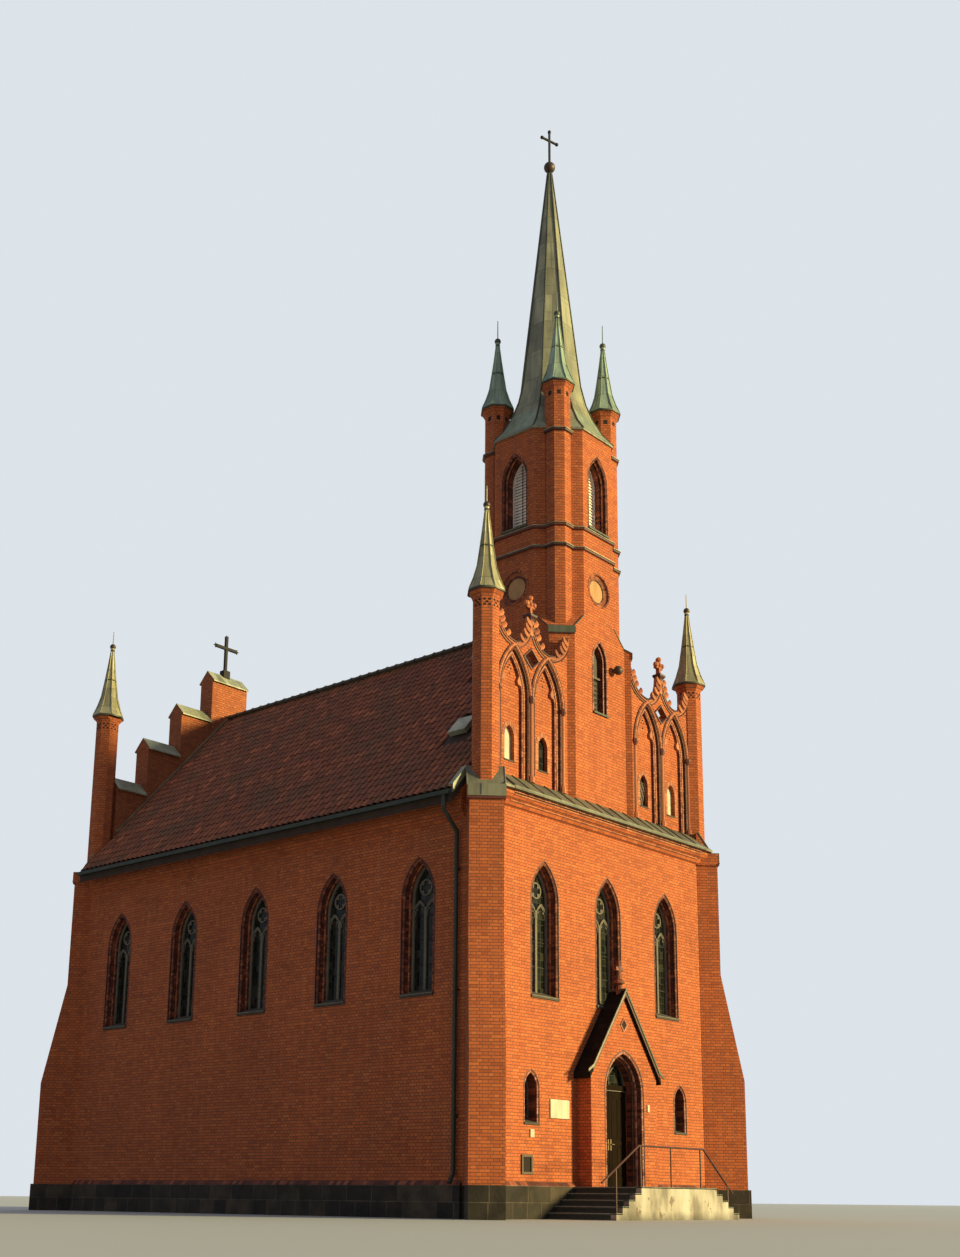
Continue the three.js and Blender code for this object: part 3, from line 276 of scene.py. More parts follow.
class Arch:
    """A pointed arch over straight jambs, and its outlines at any distance outwards."""

    def __init__(self, half, sill, spring, apex, centre=0.0):
        self.half, self.sill, self.spring, self.centre = half, sill, spring, centre
        rise = apex - spring
        self.radius = (half * half + rise * rise) / (2 * half)
        self.back = self.radius - half
        self.length = self.radius * math.acos(self.back / self.radius)

    def point(self, s, grow=0.0):
        """The right half's (u, z): s is a height up the jamb, and then a length along the arc."""
        if s <= self.spring:
            return self.half + grow, s
        radius = self.radius + grow
        angle = (s - self.spring) / self.length * math.acos(self.back / radius)
        return radius * math.cos(angle) - self.back, self.spring + radius * math.sin(angle)

    def stations(self, start, arc_steps):
        return [start] + [self.spring + self.length * i / arc_steps for i in range(arc_steps + 1)]

    def outline(self, grow=0.0):
        right = [self.point(s, grow) for s in self.stations(self.sill, 8)]
        left = [(-u, z) for u, z in reversed(right[:-1])]
        return [(self.centre + u, z) for u, z in right + left]

    def width_at(self, z, grow):
        """Half the opening's width at one height."""
        if z <= self.spring:
            return self.half + grow
        reach = (self.radius + grow) ** 2 - (z - self.spring) ** 2
        return max(0.0, math.sqrt(max(reach, 0.0)) - self.back)

    def section(self, s, section, sign):
        """A moulding's section, set square to one jamb or to the arc over it."""
        ring = []
        for g, d in section:
            u, z = self.point(s, g)
            ring.append((self.centre + sign * u, d, z))
        return ring

    def blocks(self, shape, section, number=0, place=None, start=None, signs=(1, -1)):
        """Separate moulded bricks up the jambs and round the arch. The section is (outwards, depth)."""
        low = self.sill if start is None else start
        reach = self.spring + self.length - low
        count = max(1, round(reach / COURSE))
        step = reach / count
        for sign in signs:
            for i in range(count):
                ends = (low + i * step + JOINT / 2, low + (i + 1) * step - JOINT / 2)
                shape.loft([self.section(s, section, sign) for s in ends], number, place)

    def orders(self, shape, orders, place):
        """Every order of an opening. An order is (section, number)."""
        for section, number in orders:
            self.blocks(shape, section, number, place)

    def band(self, shape, section, number=0, place=None, start=None):
        """One moulding without joints, up a jamb, round the arch and down the other jamb."""
        stops = self.stations(self.sill if start is None else start, 10)
        rings = [self.section(s, section, 1) for s in stops]
        rings += [self.section(s, section, -1) for s in reversed(stops[:-1])]
        shape.loft(rings, number, place)


# Material building blocks
# The darkest block, the lightest block and the joint, where a bond gives a number for each block
GREYS = ((0, 0, 0), (1, 1, 1), (0.5, 0.5, 0.5))


class Surface:
    """A node material, with short names for the nodes it is made of."""

    def __init__(self, name, roughness=0.8, metallic=0.0, specular=0.5):
        self.material = bpy.data.materials.new(name)
        self.material.use_nodes = True
        self.tree = self.material.node_tree
        self.shader = self.tree.nodes["Principled BSDF"]
        self.shader.inputs["Roughness"].default_value = roughness
        self.shader.inputs["Metallic"].default_value = metallic
        self.shader.inputs["Specular IOR Level"].default_value = specular

    def node(self, kind, values=None, **settings):
        node = self.tree.nodes.new(kind)
        for key, value in settings.items():
            setattr(node, key, value)
        for key, value in (values or {}).items():
            self.put(node.inputs[key], value)
        return node

    def put(self, socket, value):
        """Links a node's output to a socket, or sets the socket's own value."""
        if isinstance(value, bpy.types.NodeSocket):
            self.tree.links.new(value, socket)
        elif isinstance(value, tuple) and len(value) == 3 and socket.type == "RGBA":
            socket.default_value = (*value, 1)
        else:
            socket.default_value = value

    def math(self, operation, a, b=0.0, c=0.0):
        return self.node("ShaderNodeMath", {0: a, 1: b, 2: c}, operation=operation).outputs[0]

    def times(self, a, b, plus=0.0):
        return self.math("MULTIPLY_ADD", a, b, plus)

    def less(self, a, b):
        return self.math("SUBTRACT", a, b)

    def mix(self, share, a, b, blend="MIX"):
        values = {0: share, 6: a, 7: b}
        return self.node("ShaderNodeMix", values, data_type="RGBA", blend_type=blend).outputs[2]

    def shade(self, colour, factor, share=1.0):
        """The colour times a factor, or a share of the way there."""
        return self.mix(share, colour, factor, "MULTIPLY")

    def ramp(self, share, stops):
        node = self.node("ShaderNodeValToRGB", {0: share})
        elements = node.color_ramp.elements
        while len(elements) < len(stops):
            elements.new(0.5)
        for element, (position, colour) in zip(elements, stops):
            element.position = position
            element.color = (*colour, 1) if isinstance(colour, tuple) else (colour, colour, colour, 1)
        return node.outputs[0]

    def place(self):
        """The point's place in the part's own frame."""
        return self.node("ShaderNodeTexCoord").outputs["Object"]

    def split(self, vector):
        return self.node("ShaderNodeSeparateXYZ", {0: vector}).outputs

    def join(self, x, y):
        return self.node("ShaderNodeCombineXYZ", {0: x, 1: y}).outputs[0]

    def scaled(self, x, y, z):
        """The point's place, stretched along each axis."""
        return self.node("ShaderNodeMapping", {0: self.place(), "Scale": (x, y, z)}).outputs[0]

    def noise(self, scale, detail=3.0, vector=None, roughness=0.55):
        values = {"Scale": scale, "Detail": detail, "Roughness": roughness,
                  "Vector": vector or self.place()}
        return self.node("ShaderNodeTexNoise", values).outputs[0]

    def island(self):
        return self.node("ShaderNodeNewGeometry").outputs["Random Per Island"]

    def bond(self, vector, size, joint, smooth, tones=GREYS, **settings):
        """Blocks of (width, height) in rows: a tone for each, and the share of joint."""
        values = {"Vector": vector, "Color1": tones[0], "Color2": tones[1], "Mortar": tones[2],
                  "Scale": 1.0, "Mortar Size": joint, "Mortar Smooth": smooth, "Bias": 0.0,
                  "Brick Width": size[0], "Row Height": size[1]}
        outputs = self.node("ShaderNodeTexBrick", values, offset_frequency=2, **settings).outputs
        return outputs["Color"], outputs["Fac"]

    def colour(self, value):
        self.put(self.shader.inputs["Base Color"], value)

    def rough(self, value):
        self.put(self.shader.inputs["Roughness"], value)

    def bump(self, height, strength, distance):
        values = {"Height": height, "Strength": strength, "Distance": distance}
        self.put(self.shader.inputs["Normal"], self.node("ShaderNodeBump", values).outputs[0])

    def wall_axes(self):
        """Lengths along the wall and up it, whichever way the wall faces."""
        x, y, z = self.split(self.place())
        nx, ny, nz = self.split(self.node("ShaderNodeNewGeometry").outputs["True Normal"])
        level_part = self.math("SQRT", self.times(nx, nx, self.times(ny, ny)))
        along = self.less(self.times(y, nx), self.times(x, ny))
        along = self.math("DIVIDE", along, self.math("MAXIMUM", level_part, 0.001))
        level = self.math("GREATER_THAN", self.math("ABSOLUTE", nz), 0.9)
        upright = self.less(1.0, level)
        return self.times(x, level, self.times(along, upright)), self.times(y, level, self.times(z, upright))


# Materials
BRICK_STOPS = [(0.0, (0.39, 0.082, 0.021)), (0.12, (0.46, 0.099, 0.025)), (0.5, (0.52, 0.116, 0.028)),
               (0.85, (0.56, 0.132, 0.032)), (1.0, (0.62, 0.155, 0.038))]
MORTAR = (0.150, 0.055, 0.028)


def weathering(s, colour, amount):
    """Soot and damp in large soft patches and faint upright streaks."""
    patches = s.ramp(s.noise(0.45, 4.0), [(0.36, 0.62), (0.62, 1.0)])
    streaks = s.ramp(s.noise(1.0, 3.0, s.scaled(5.0, 5.0, 0.35)), [(0.3, 0.78), (0.6, 1.0)])
    return s.shade(s.shade(colour, patches, 0.75 * amount), streaks, 0.5 * amount)


def brick_face(s, dark_share):
    """Colour and relief of facing brick in an English bond, with recessed joints."""
    u, v = s.wall_axes()
    each, joint = s.bond(s.join(u, v), (0.25, COURSE), 0.0085, 0.3, squash=0.5, squash_frequency=2)
    row = s.math("FLOOR", s.math("DIVIDE", v, COURSE))
    headers = s.math("ABSOLUTE", s.math("MODULO", row, 2.0))
    darker = s.times(headers, -(0.03 + dark_share), each)
    spread = s.less(s.times(s.noise(14.0, 2.0), 0.5), 0.25)
    colour = s.ramp(s.math("ADD", darker, spread), BRICK_STOPS)
    colour = s.shade(colour, s.ramp(s.noise(55.0, 3.0), [(0.3, 0.86), (0.7, 1.0)]))
    colour = s.mix(s.times(joint, 0.9), colour, MORTAR)
    height = s.less(s.times(s.noise(70.0, 4.0), 0.35), joint)
    return weathering(s, colour, 0.5), height


def granite_face(s):
    """Colour and relief of dressed blocks with brown mottling and pale joints."""
    vector = s.join(*s.wall_axes())
    each, joint = s.bond(vector, (0.82, 0.36), 0.012, 0.3, squash=0.62, squash_frequency=2)
    blocks = [(0.0, (0.020, 0.013, 0.008)), (0.5, (0.038, 0.026, 0.015)), (1.0, (0.075, 0.052, 0.030))]
    fleck = s.ramp(s.noise(95.0, 4.0, roughness=0.75), [(0.36, 0.55), (0.5, 0.95), (0.66, 1.25)])
    colour = s.mix(joint, s.shade(s.ramp(each, blocks), fleck), (0.095, 0.072, 0.046))
    stain = s.ramp(s.noise(2.2, 5.0), [(0.35, 0.5), (0.5, 0.9), (0.65, 1.35)])
    lumps = s.less(s.noise(18.0, 5.0), s.times(joint, 1.2))
    return weathering(s, s.shade(colour, stain), 0.6), lumps


def brick_material(name, dark_share=0.0, tint=None, granite_foot=False):
    """Brickwork, with granite up to the plinth's top where it stands on the ground."""
    s = Surface(name, 0.86)
    colour, height = brick_face(s, dark_share)
    if tint:
        colour = s.shade(colour, tint)
    if granite_foot:
        above = s.math("GREATER_THAN", s.split(s.place())[2], PLINTH_TOP)
        stone, lumps = granite_face(s)
        colour = s.mix(above, stone, colour)
        height = s.times(above, s.less(height, lumps), lumps)
    s.colour(colour)
    s.bump(height, 0.9, 0.008)
    return s.material


def moulded_material(name, stops, roughness=0.7):
    """Single moulded bricks, each with a colour of its own."""
    s = Surface(name, roughness)
    grain = s.ramp(s.noise(45.0, 3.0), [(0.3, 0.75), (0.7, 1.0)])
    s.colour(weathering(s, s.shade(s.ramp(s.island(), stops), grain), 0.7))
    s.bump(s.noise(60.0, 4.0), 0.35, 0.004)
    return s.material


def granite_material():
    s = Surface("granite", 0.85)
    colour, lumps = granite_face(s)
    s.colour(colour)
    s.bump(lumps, 0.8, 0.012)
    return s.material


def step_material():
    """Dark granite steps, pale on the treads and along the top of each edge: partly wear, partly a painted
    highlight where the treads catch the light.
    """
    s = Surface("steps_wear_and_painted_highlight", 0.9)
    pale, dark = (0.24, 0.27, 0.22), (0.042, 0.054, 0.046)
    drop = s.less(PLINTH_TOP + 0.007, s.split(s.place())[2])
    wear_and_painted_highlight = s.ramp(s.math("FRACT", s.math("DIVIDE", drop, RISER)),
                  [(0.09, pale), (0.15, dark), (0.97, dark), (0.985, pale)])
    s.colour(s.shade(wear_and_painted_highlight, s.ramp(s.noise(26.0, 5.0), [(0.3, 0.6), (0.7, 1.2)])))
    s.bump(s.noise(40.0, 4.0), 0.4, 0.005)
    return s.material


def copper_material(name, pale, deep, brown_share=0.5, sheet=None):
    """Old copper with rain streaks and faint dents. A sheet's width and height adds seamed sheets."""
    s = Surface(name, 0.55, 0.15)
    blotch = s.noise(0.9, 5.0, s.scaled(1.4, 1.4, 0.7))
    edge = 0.62 - 0.25 * brown_share
    middle = tuple((a + b) / 2 for a, b in zip(pale, deep))
    colour = s.ramp(blotch, [(edge - 0.14, deep), (edge, middle), (edge + 0.2, pale)])
    streak = s.ramp(s.noise(1.0, 4.0, s.scaled(9.0, 9.0, 0.5)), [(0.4, 0.72), (0.66, 1.15)])
    colour = s.shade(colour, streak, 0.7)
    height = s.noise(3.0, 3.0)
    if sheet:
        each, seam = s.bond(s.join(*s.wall_axes()), sheet, 0.008, 0.2)
        colour = s.shade(colour, s.ramp(each, [(0.0, 0.70), (1.0, 1.18)]))
        colour = s.mix(s.times(seam, 0.6), colour, (0.045, 0.045, 0.035))
        height = s.times(seam, 0.5, height)
    else:
        colour = s.shade(colour, s.ramp(s.island(), [(0.0, 0.68), (1.0, 1.15)]))
    s.colour(colour)
    s.rough(s.ramp(blotch, [(0.3, 0.62), (0.7, 0.46)]))
    s.bump(height, 0.3, 0.02)
    return s.material


def plain_material(name, colour, roughness=0.6, metallic=0.0, spread=0.25, scale=30.0):
    """Paint, stone or metal with a fine grain and soft dirt."""
    s = Surface(name, roughness, metallic)
    grain = s.ramp(s.noise(scale, 4.0), [(0.3, 1.0 - spread), (0.7, 1.0 + spread * 0.4)])
    dirt = s.ramp(s.noise(1.0, 4.0, s.scaled(3.0, 3.0, 0.8)), [(0.35, 0.72), (0.6, 1.0)])
    s.colour(s.shade(s.shade(colour, grain), dirt))
    s.bump(s.noise(scale * 1.5, 3.0), 0.2, 0.004)
    return s.material


def tile_material():
    """Clay pantiles, each fired a little differently, with moss, and painted shade in the trough of each
    tile.
    """
    s = Surface("pantiles", 0.75)
    colour = s.ramp(s.island(), [(0.0, (0.17, 0.050, 0.024)), (0.4, (0.22, 0.062, 0.028)),
                                 (0.85, (0.28, 0.076, 0.033)), (1.0, (0.40, 0.110, 0.045))])
    moss = s.ramp(s.noise(0.7, 5.0), [(0.45, 0.0), (0.7, 0.65)])
    colour = s.mix(moss, colour, (0.11, 0.062, 0.030))
    colour = s.shade(colour, s.ramp(s.noise(40.0, 3.0), [(0.3, 0.75), (0.7, 1.1)]))
    along = s.less(s.split(s.place())[1], ROOF_ENDS[0])
    across = s.math("FRACT", s.math("DIVIDE", along, TILE_WIDTH))
    # Painted shade in each tile's trough and a painted highlight over its roll, by the place across the tile
    painted_trough_shade = s.ramp(across, [(0.0, 0.55), (0.18, 1.4), (0.48, 1.35), (0.64, 0.3), (0.85, 0.08), (1.0, 0.5)])
    s.colour(s.shade(colour, painted_trough_shade))
    s.bump(s.noise(50.0, 3.0), 0.3, 0.004)
    return s.material


def slate_material():
    """Near-black porch roof in small overlapping sheets."""
    s = Surface("porch_slate", 0.9, specular=0.12)
    _, y, z = s.split(s.place())
    tones = ((0.005, 0.005, 0.005), (0.013, 0.012, 0.011), (0.002, 0.002, 0.002))
    colour, joint = s.bond(s.join(y, z), (0.24, 0.17), 0.006, 0.2, tones)
    s.colour(colour)
    s.bump(s.less(1.0, joint), 0.8, 0.01)
    return s.material


def glass_material():
    """Old leaded glass: dark, uneven small panes between lead strips."""
    s = Surface("leaded_glass", 0.06, specular=0.28)
    each, lead = s.bond(s.join(*s.wall_axes()), (0.13, 0.17), 0.005, 0.1, offset=0.0)
    panes = s.ramp(each, [(0.0, (0.006, 0.007, 0.005)), (0.6, (0.014, 0.015, 0.011)),
                          (1.0, (0.034, 0.034, 0.025))])
    s.colour(s.mix(lead, panes, (0.012, 0.012, 0.012)))
    s.rough(s.times(lead, 0.6, 0.06))
    tilt = s.times(each, 0.6, lead)
    s.bump(s.times(s.noise(9.0, 2.0), 0.5, tilt), 0.10, 0.004)
    return s.material


def render_material():
    """White render, stained by rain, splashed at the foot and fallen off in small patches."""
    s = Surface("white_render", 0.9)
    stains = s.ramp(s.noise(1.2, 6.0, s.scaled(1.6, 1.6, 0.6)), [(0.38, (0.20, 0.17, 0.135)),
                    (0.5, (0.37, 0.325, 0.27)), (0.64, (0.48, 0.43, 0.37))])
    foot = s.times(s.noise(3.0, 4.0), 0.22, s.split(s.place())[2])
    fallen = s.ramp(s.noise(4.2, 6.0, s.scaled(1.0, 1.0, 0.8), 0.68), [(0.605, 0.0), (0.635, 1.0)])
    colour = s.mix(s.times(fallen, 0.75), stains, (0.135, 0.080, 0.055))
    s.colour(s.shade(colour, s.ramp(foot, [(0.12, 0.45), (0.32, 1.0)])))
    s.bump(s.less(s.noise(28.0, 6.0), fallen), 0.35, 0.006)
    return s.material


def timber_material():
    """Dark painted oak with an upright grain."""
    s = Surface("dark_timber", 0.85, specular=0.06)
    grain = s.noise(1.0, 5.0, s.scaled(60.0, 60.0, 1.6))
    s.colour(s.ramp(grain, [(0.3, (0.007, 0.004, 0.002)), (0.6, (0.015, 0.008, 0.004)),
                            (0.8, (0.030, 0.016, 0.009))]))
    s.bump(grain, 0.35, 0.003)
    return s.material


BRICK = brick_material("facing_brick")
CORNER_BRICK = brick_material("corner_brick", granite_foot=True)
TURRET_BRICK = brick_material("turret_brick", 0.10)
REAR_BRICK = brick_material("rear_brick", 0.05, (0.78, 0.88, 1.0))
MOULDED = moulded_material("moulded_brick", [(0.0, (0.17, 0.042, 0.022)), (0.25, (0.32, 0.080, 0.034)),
                                             (0.6, (0.46, 0.125, 0.045)), (1.0, (0.58, 0.19, 0.075))])
ORANGE_ORDER = moulded_material("orange_order", [(0.0, (0.30, 0.080, 0.034)), (0.3, (0.45, 0.128, 0.048)),
                                                 (1.0, (0.60, 0.195, 0.075))])
DARK_ORDER = moulded_material("dark_order", [(0.0, (0.085, 0.019, 0.012)), (0.45, (0.15, 0.034, 0.018)),
                                             (0.7, (0.24, 0.055, 0.026)), (1.0, (0.40, 0.110, 0.050))])
PINK_ROLL = moulded_material("pink_roll", [(0.0, (0.20, 0.055, 0.036)), (0.5, (0.46, 0.155, 0.095)),
                                           (1.0, (0.66, 0.29, 0.19))], 0.5)
# Dark glazed moulded brick; the same dark also serves for strips and rolls painted as shade and shadow lines
GLAZED_AND_SHADE = moulded_material("glazed_roll_and_painted_shade", [(0.0, (0.055, 0.014, 0.010)), (0.6, (0.11, 0.026, 0.016)),
                                          (1.0, (0.19, 0.044, 0.024))], 0.5)
# Painted shade: near black, for holes, recesses and thin shadow lines
PAINTED_SHADE = plain_material("painted_shade_black", (0.020, 0.010, 0.007), 0.95)
GRANITE = granite_material()
STEP_STONE = step_material()
SPIRE_COPPER = copper_material("spire_copper", (0.36, 0.34, 0.22), (0.18, 0.175, 0.125), 0.45, (0.62, 0.9))
FLARE_COPPER = copper_material("flare_copper", (0.34, 0.39, 0.27), (0.21, 0.245, 0.18), 0.3)
CORNER_COPPER = copper_material("corner_copper", (0.50, 0.46, 0.27), (0.34, 0.30, 0.17), 0.3, (0.34, 0.62))
TOWER_COPPER = copper_material("tower_copper", (0.36, 0.45, 0.33), (0.20, 0.27, 0.21), 0.4, (0.34, 0.62))
# The ledge's copper is darker and greyer than the rest, partly its own patina, partly painted shade across
# the ledge
LEDGE_COPPER = copper_material("ledge_copper", (0.21, 0.200, 0.140), (0.105, 0.098, 0.072))
PALE_COPPER = copper_material("pale_copper", (0.44, 0.46, 0.33), (0.26, 0.26, 0.18), 0.2)
DARK_COPPER = copper_material("dark_copper", (0.105, 0.115, 0.075), (0.045, 0.047, 0.035), 0.4)
CAP_COPPER = copper_material("cap_copper", (0.27, 0.262, 0.180), (0.140, 0.130, 0.092))
SHOULDER_COPPER = copper_material("shoulder_copper", (0.150, 0.165, 0.115), (0.070, 0.080, 0.058), 0.4)
BROWN_METAL = plain_material("brown_metal", (0.085, 0.055, 0.035), 0.5, 0.4)
TILES = tile_material()
SLATE = slate_material()
GLASS = glass_material()
TRACERY = plain_material("tracery", (0.175, 0.148, 0.115), 0.9)
TOWER_GLASS = plain_material("tower_glass", (0.016, 0.009, 0.006), 0.6, spread=0.4, scale=9.0)
SILL = plain_material("sill_slate", (0.080, 0.068, 0.056), 0.9)
CEMENT = plain_material("mossy_mortar", (0.21, 0.125, 0.070), 0.95)
# The boards' pale paint, set near white partly as painted light, to make up for the light the deep openings
# keep from them
LOUVRE = plain_material("louvre_paint_and_painted_light", (0.95, 0.82, 0.72), 0.6, spread=0.12, scale=18.0)
PLASTER = plain_material("tan_plaster", (0.50, 0.265, 0.125), 0.9, spread=0.15)
CREAM = plain_material("cream_board", (0.60, 0.52, 0.40), 0.8, spread=0.12)
RENDER = render_material()
TIMBER = timber_material()
IRON = plain_material("rail_paint", (0.085, 0.032, 0.022), 0.5, 0.2)
BLACK_IRON = plain_material("black_iron", (0.012, 0.010, 0.009), 0.8)
ZINC = plain_material("dark_zinc", (0.042, 0.050, 0.036), 0.5, 0.3)
BRONZE = plain_material("worn_bronze", (0.24, 0.16, 0.08), 0.4, 0.6)
RIDGE_CLAY = plain_material("ridge_clay", (0.080, 0.062, 0.048), 0.9)
# Painted shade: near black, for the tile slab's underside and edge under the eave
SHADE_SOFFIT = plain_material("painted_shade_soffit", (0.050, 0.026, 0.017), 0.9)

WINDOW_BRICK = [PINK_ROLL, DARK_ORDER, GLAZED_AND_SHADE, MOULDED]

# The start of a node's name, and its finish. The first that fits is taken.
NODE_FINISH = [
    ("plinth", GRANITE), ("stair_cheek", RENDER), ("stair", STEP_STONE), ("corner_turret", CORNER_BRICK),
    ("tower_turret", TURRET_BRICK), ("corner_spirelet", CORNER_COPPER), ("tower_spirelet", TOWER_COPPER),
    ("spire_cross", BLACK_IRON), ("spire", SPIRE_COPPER), ("rear_cross", BLACK_IRON),
    ("front_ledge", LEDGE_COPPER), ("transom_light", GLASS), ("front_glazing", GLASS),
    ("nave_glazing", GLASS), ("rear_glazing", GLASS), ("front_wall", BRICK), ("arcade", BRICK),
    ("nave_wall", BRICK), ("rear_gable", REAR_BRICK), ("roof_slope", TILES), ("gutter", ZINC),
    ("downpipe", ZINC), ("roof_hatch", PALE_COPPER), ("tower_base", BRICK), ("tower_window", TOWER_GLASS),
    ("tower_inner_arch", BRICK), ("tower_belfry", BRICK), ("belfry_louvres", LOUVRE),
    ("porch_walls", BRICK), ("porch_roof", SLATE), ("porch_finial", DARK_ORDER), ("door", TIMBER),
    ("handrail", IRON),
]


def finish_nodes():
    """Gives each node of the part the finish whose name its own begins with."""
    for name, node in nodes.items():
        finish = next(f for start, f in NODE_FINISH if name.startswith(start))
        node.data.materials.clear()
        node.data.materials.append(finish)


# Windows
# Orders of an opening: (section, number in WINDOW_BRICK). Sills: (depth, height).
EDGE_BAND = flat(0.0, 0.022, -0.006, 0.02)
TALL = Arch(0.525, 5.0, 7.33, 8.28)
TALL_ORDERS = [(roll(-0.038, 0.045, 0.04), 1), (flat(-0.070, 0.003, 0.085, 0.20), 1),
               (roll(-0.086, 0.19, 0.026), 3), (flat(-0.105, 0.003, 0.20, 0.34), 1), (EDGE_BAND, 2)]
TALL_SILL = [(0.32, 4.97), (0.32, 5.18), (-0.035, 5.035), (-0.035, 4.985), (0.0, 4.97)]
TRACERY_FRONT = 0.26
TRACERY_RADIUS = 0.165
LIGHT_X = 0.195
LIGHT_START = 6.93
LIGHT_MIDDLE = 7.02
CIRCLE_MIDDLE = 7.60
CROSS_BARS = (5.75, 6.35, 6.92)
SMALL = Arch(0.28, 2.1, 2.9, 3.32)
SMALL_ORDERS = [(roll(-0.03, 0.035, 0.032), 0), (flat(-0.058, 0.003, 0.07, 0.34), 1), (EDGE_BAND, 2)]
SMALL_SILL = [(0.33, 2.07), (0.33, 2.22), (-0.03, 2.125), (-0.03, 2.085), (0.0, 2.07)]
SMALL_CROSS_BARS = (2.42, 2.72)


def tall_window(brick, trim, glass, place):
    """Moulded orders, a grey frame with two lights under a circle, leaded glass and a sloped sill."""
    TALL.orders(brick, TALL_ORDERS, place)
    inside = deeper(place, TRACERY_FRONT)
    TALL.band(trim, flat(-0.165, -0.095, 0.0, 0.08), 0, inside)
    trim.box((-0.036, 0.0, 5.1), (0.036, 0.07, 7.12), 0, inside)
    for side in (-1, 1):
        light = Arch(TRACERY_RADIUS, 5.2, 6.98, 7.27, side * LIGHT_X)
        light.band(trim, flat(0.0, 0.034, 0.005, 0.065), 0, inside, LIGHT_START)
        light.band(trim, flat(-0.03, 0.004, 0.015, 0.055), 0, inside, LIGHT_START)
        for turn in (35, 145):
            cusp(trim, (side * LIGHT_X, LIGHT_MIDDLE), turn, inside)
    trim.hoop((0, CIRCLE_MIDDLE), TRACERY_RADIUS, flat(0.0, 0.036, 0.005, 0.065), 20, 0, inside)
    for turn in (45, 135, 225, 315):
        cusp(trim, (0, CIRCLE_MIDDLE), turn, inside)
    for z in CROSS_BARS:
        trim.box((-0.36, 0.02, z), (0.36, 0.035, z + 0.018), 2, inside)
    glass.prism(TALL.outline(-0.12), 0.04, 0.052, 0, inside)
    trim.run(TALL_SILL, (-0.522, 0.522), 1, place)
    trim.box((-0.525, -0.042, 5.02), (0.525, -0.03, 5.045), 0, place)


def cusp(shape, centre, turn, place):
    """A small pointed tooth inside a ring of tracery."""
    foot, tip = TRACERY_RADIUS + 0.01, TRACERY_RADIUS * 0.55
    outline = []
    for lean, r in ((-22, foot), (0, tip), (22, foot)):
        angle = math.radians(turn + lean)
        outline.append((centre[0] + r * math.cos(angle), centre[1] + r * math.sin(angle)))
    shape.prism(outline, 0.015, 0.055, 0, place)


def small_window(brick, trim, glass, place):
    """One light with its orders, a frame, bars, leaded glass and a sloped sill."""
    SMALL.orders(brick, SMALL_ORDERS, place)
    SMALL.band(trim, flat(-0.085, -0.05, 0.27, 0.35), 0, place)
    trim.box((-0.012, 0.28, 2.1), (0.012, 0.31, 3.2), 2, place)
    for z in SMALL_CROSS_BARS:
        trim.box((-0.2, 0.285, z), (0.2, 0.305, z + 0.016), 2, place)
    glass.prism(SMALL.outline(-0.06), 0.315, 0.325, 0, place)
    trim.run(SMALL_SILL, (-0.277, 0.277), 1, place)


def make_windows():
    """The windows of each wall: orders, tracery and panes as three pieces."""
    walls = {
        "front": [placed(i * LANCET_SPACING, 0) for i in (-1, 0, 1)],
        "nave_left": [placed(-HALF_WIDTH, y, -90) for y in NAVE_BAYS],
        "nave_right": [placed(HALF_WIDTH, y, 90) for y in NAVE_BAYS],
        "rear": [placed(i * LANCET_SPACING, LENGTH, 180) for i in (-1, 0, 1)],
    }
    glazing = {"front": "front_glazing", "nave_left": "nave_glazing_left",
               "nave_right": "nave_glazing_right", "rear": "rear_glazing"}
    for name, places in walls.items():
        brick, trim, glass = Shape(), Shape(), Shape()
        for place in places:
            tall_window(brick, trim, glass, place)
        if name == "front":
            for side in (-1, 1):
                small_window(brick, trim, glass, placed(side * SMALL_LANCET_X, 0))
        brick.make(f"{name}_window_orders", WINDOW_BRICK, "brick")
        trim.make(f"{name}_window_tracery", [TRACERY, SILL, BLACK_IRON], "louvre")
        panes = glass.make(f"{name}_window_panes", [GLASS], "glass")
        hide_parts(glazing[name])


# Niche gables beside the tower
NICHE_PLACE = placed(0, ARCADE_FRONT)
NICHE_BACK = deeper(NICHE_PLACE, ARCADE_BACK)
NICHE_SPRING = 12.3
NICHE_SILL = [(0.15, 10.62), (0.15, 10.70), (-0.02, 10.655), (-0.02, 10.62)]
COLONNETTE_TOP = 12.2
LOZENGE_Z = 13.35
GABLE_HOLES_Z = 13.64
NICHE_HOLES_Z = 12.98
TREFOIL = [(0, 0.075), (-0.055, 0), (0.055, 0)]

# The tooth of a trefoil head: (share of the arc, how far out)
TOOTH = [(0.15, 0.0), (0.27, -0.055), (0.36, -0.15), (0.45, -0.15), (0.50, -0.05), (0.62, 0.0)]

# The rolls of a branch: (depth, sideways, radius, number)
BRANCH_ROLLS = [(-0.018, 0.012, 0.022, 2), (-0.022, -0.062, 0.026, 0), (-0.010, -0.135, 0.020, 2)]

# A crocket's curl: (out, up, radius). Where crockets sit: (share of the branch, size).
CROCKET = [(-0.04, -0.045, 0.050), (0.02, -0.02, 0.064), (0.070, 0.015, 0.068), (0.100, 0.065, 0.058),
           (0.095, 0.110, 0.036), (0.075, 0.130, 0.014)]
CROCKETS = [(0.34, 1.0), (0.54, 1.05), (0.72, 1.1), (0.88, 1.1)]
CROCKET_DEPTH = -0.02

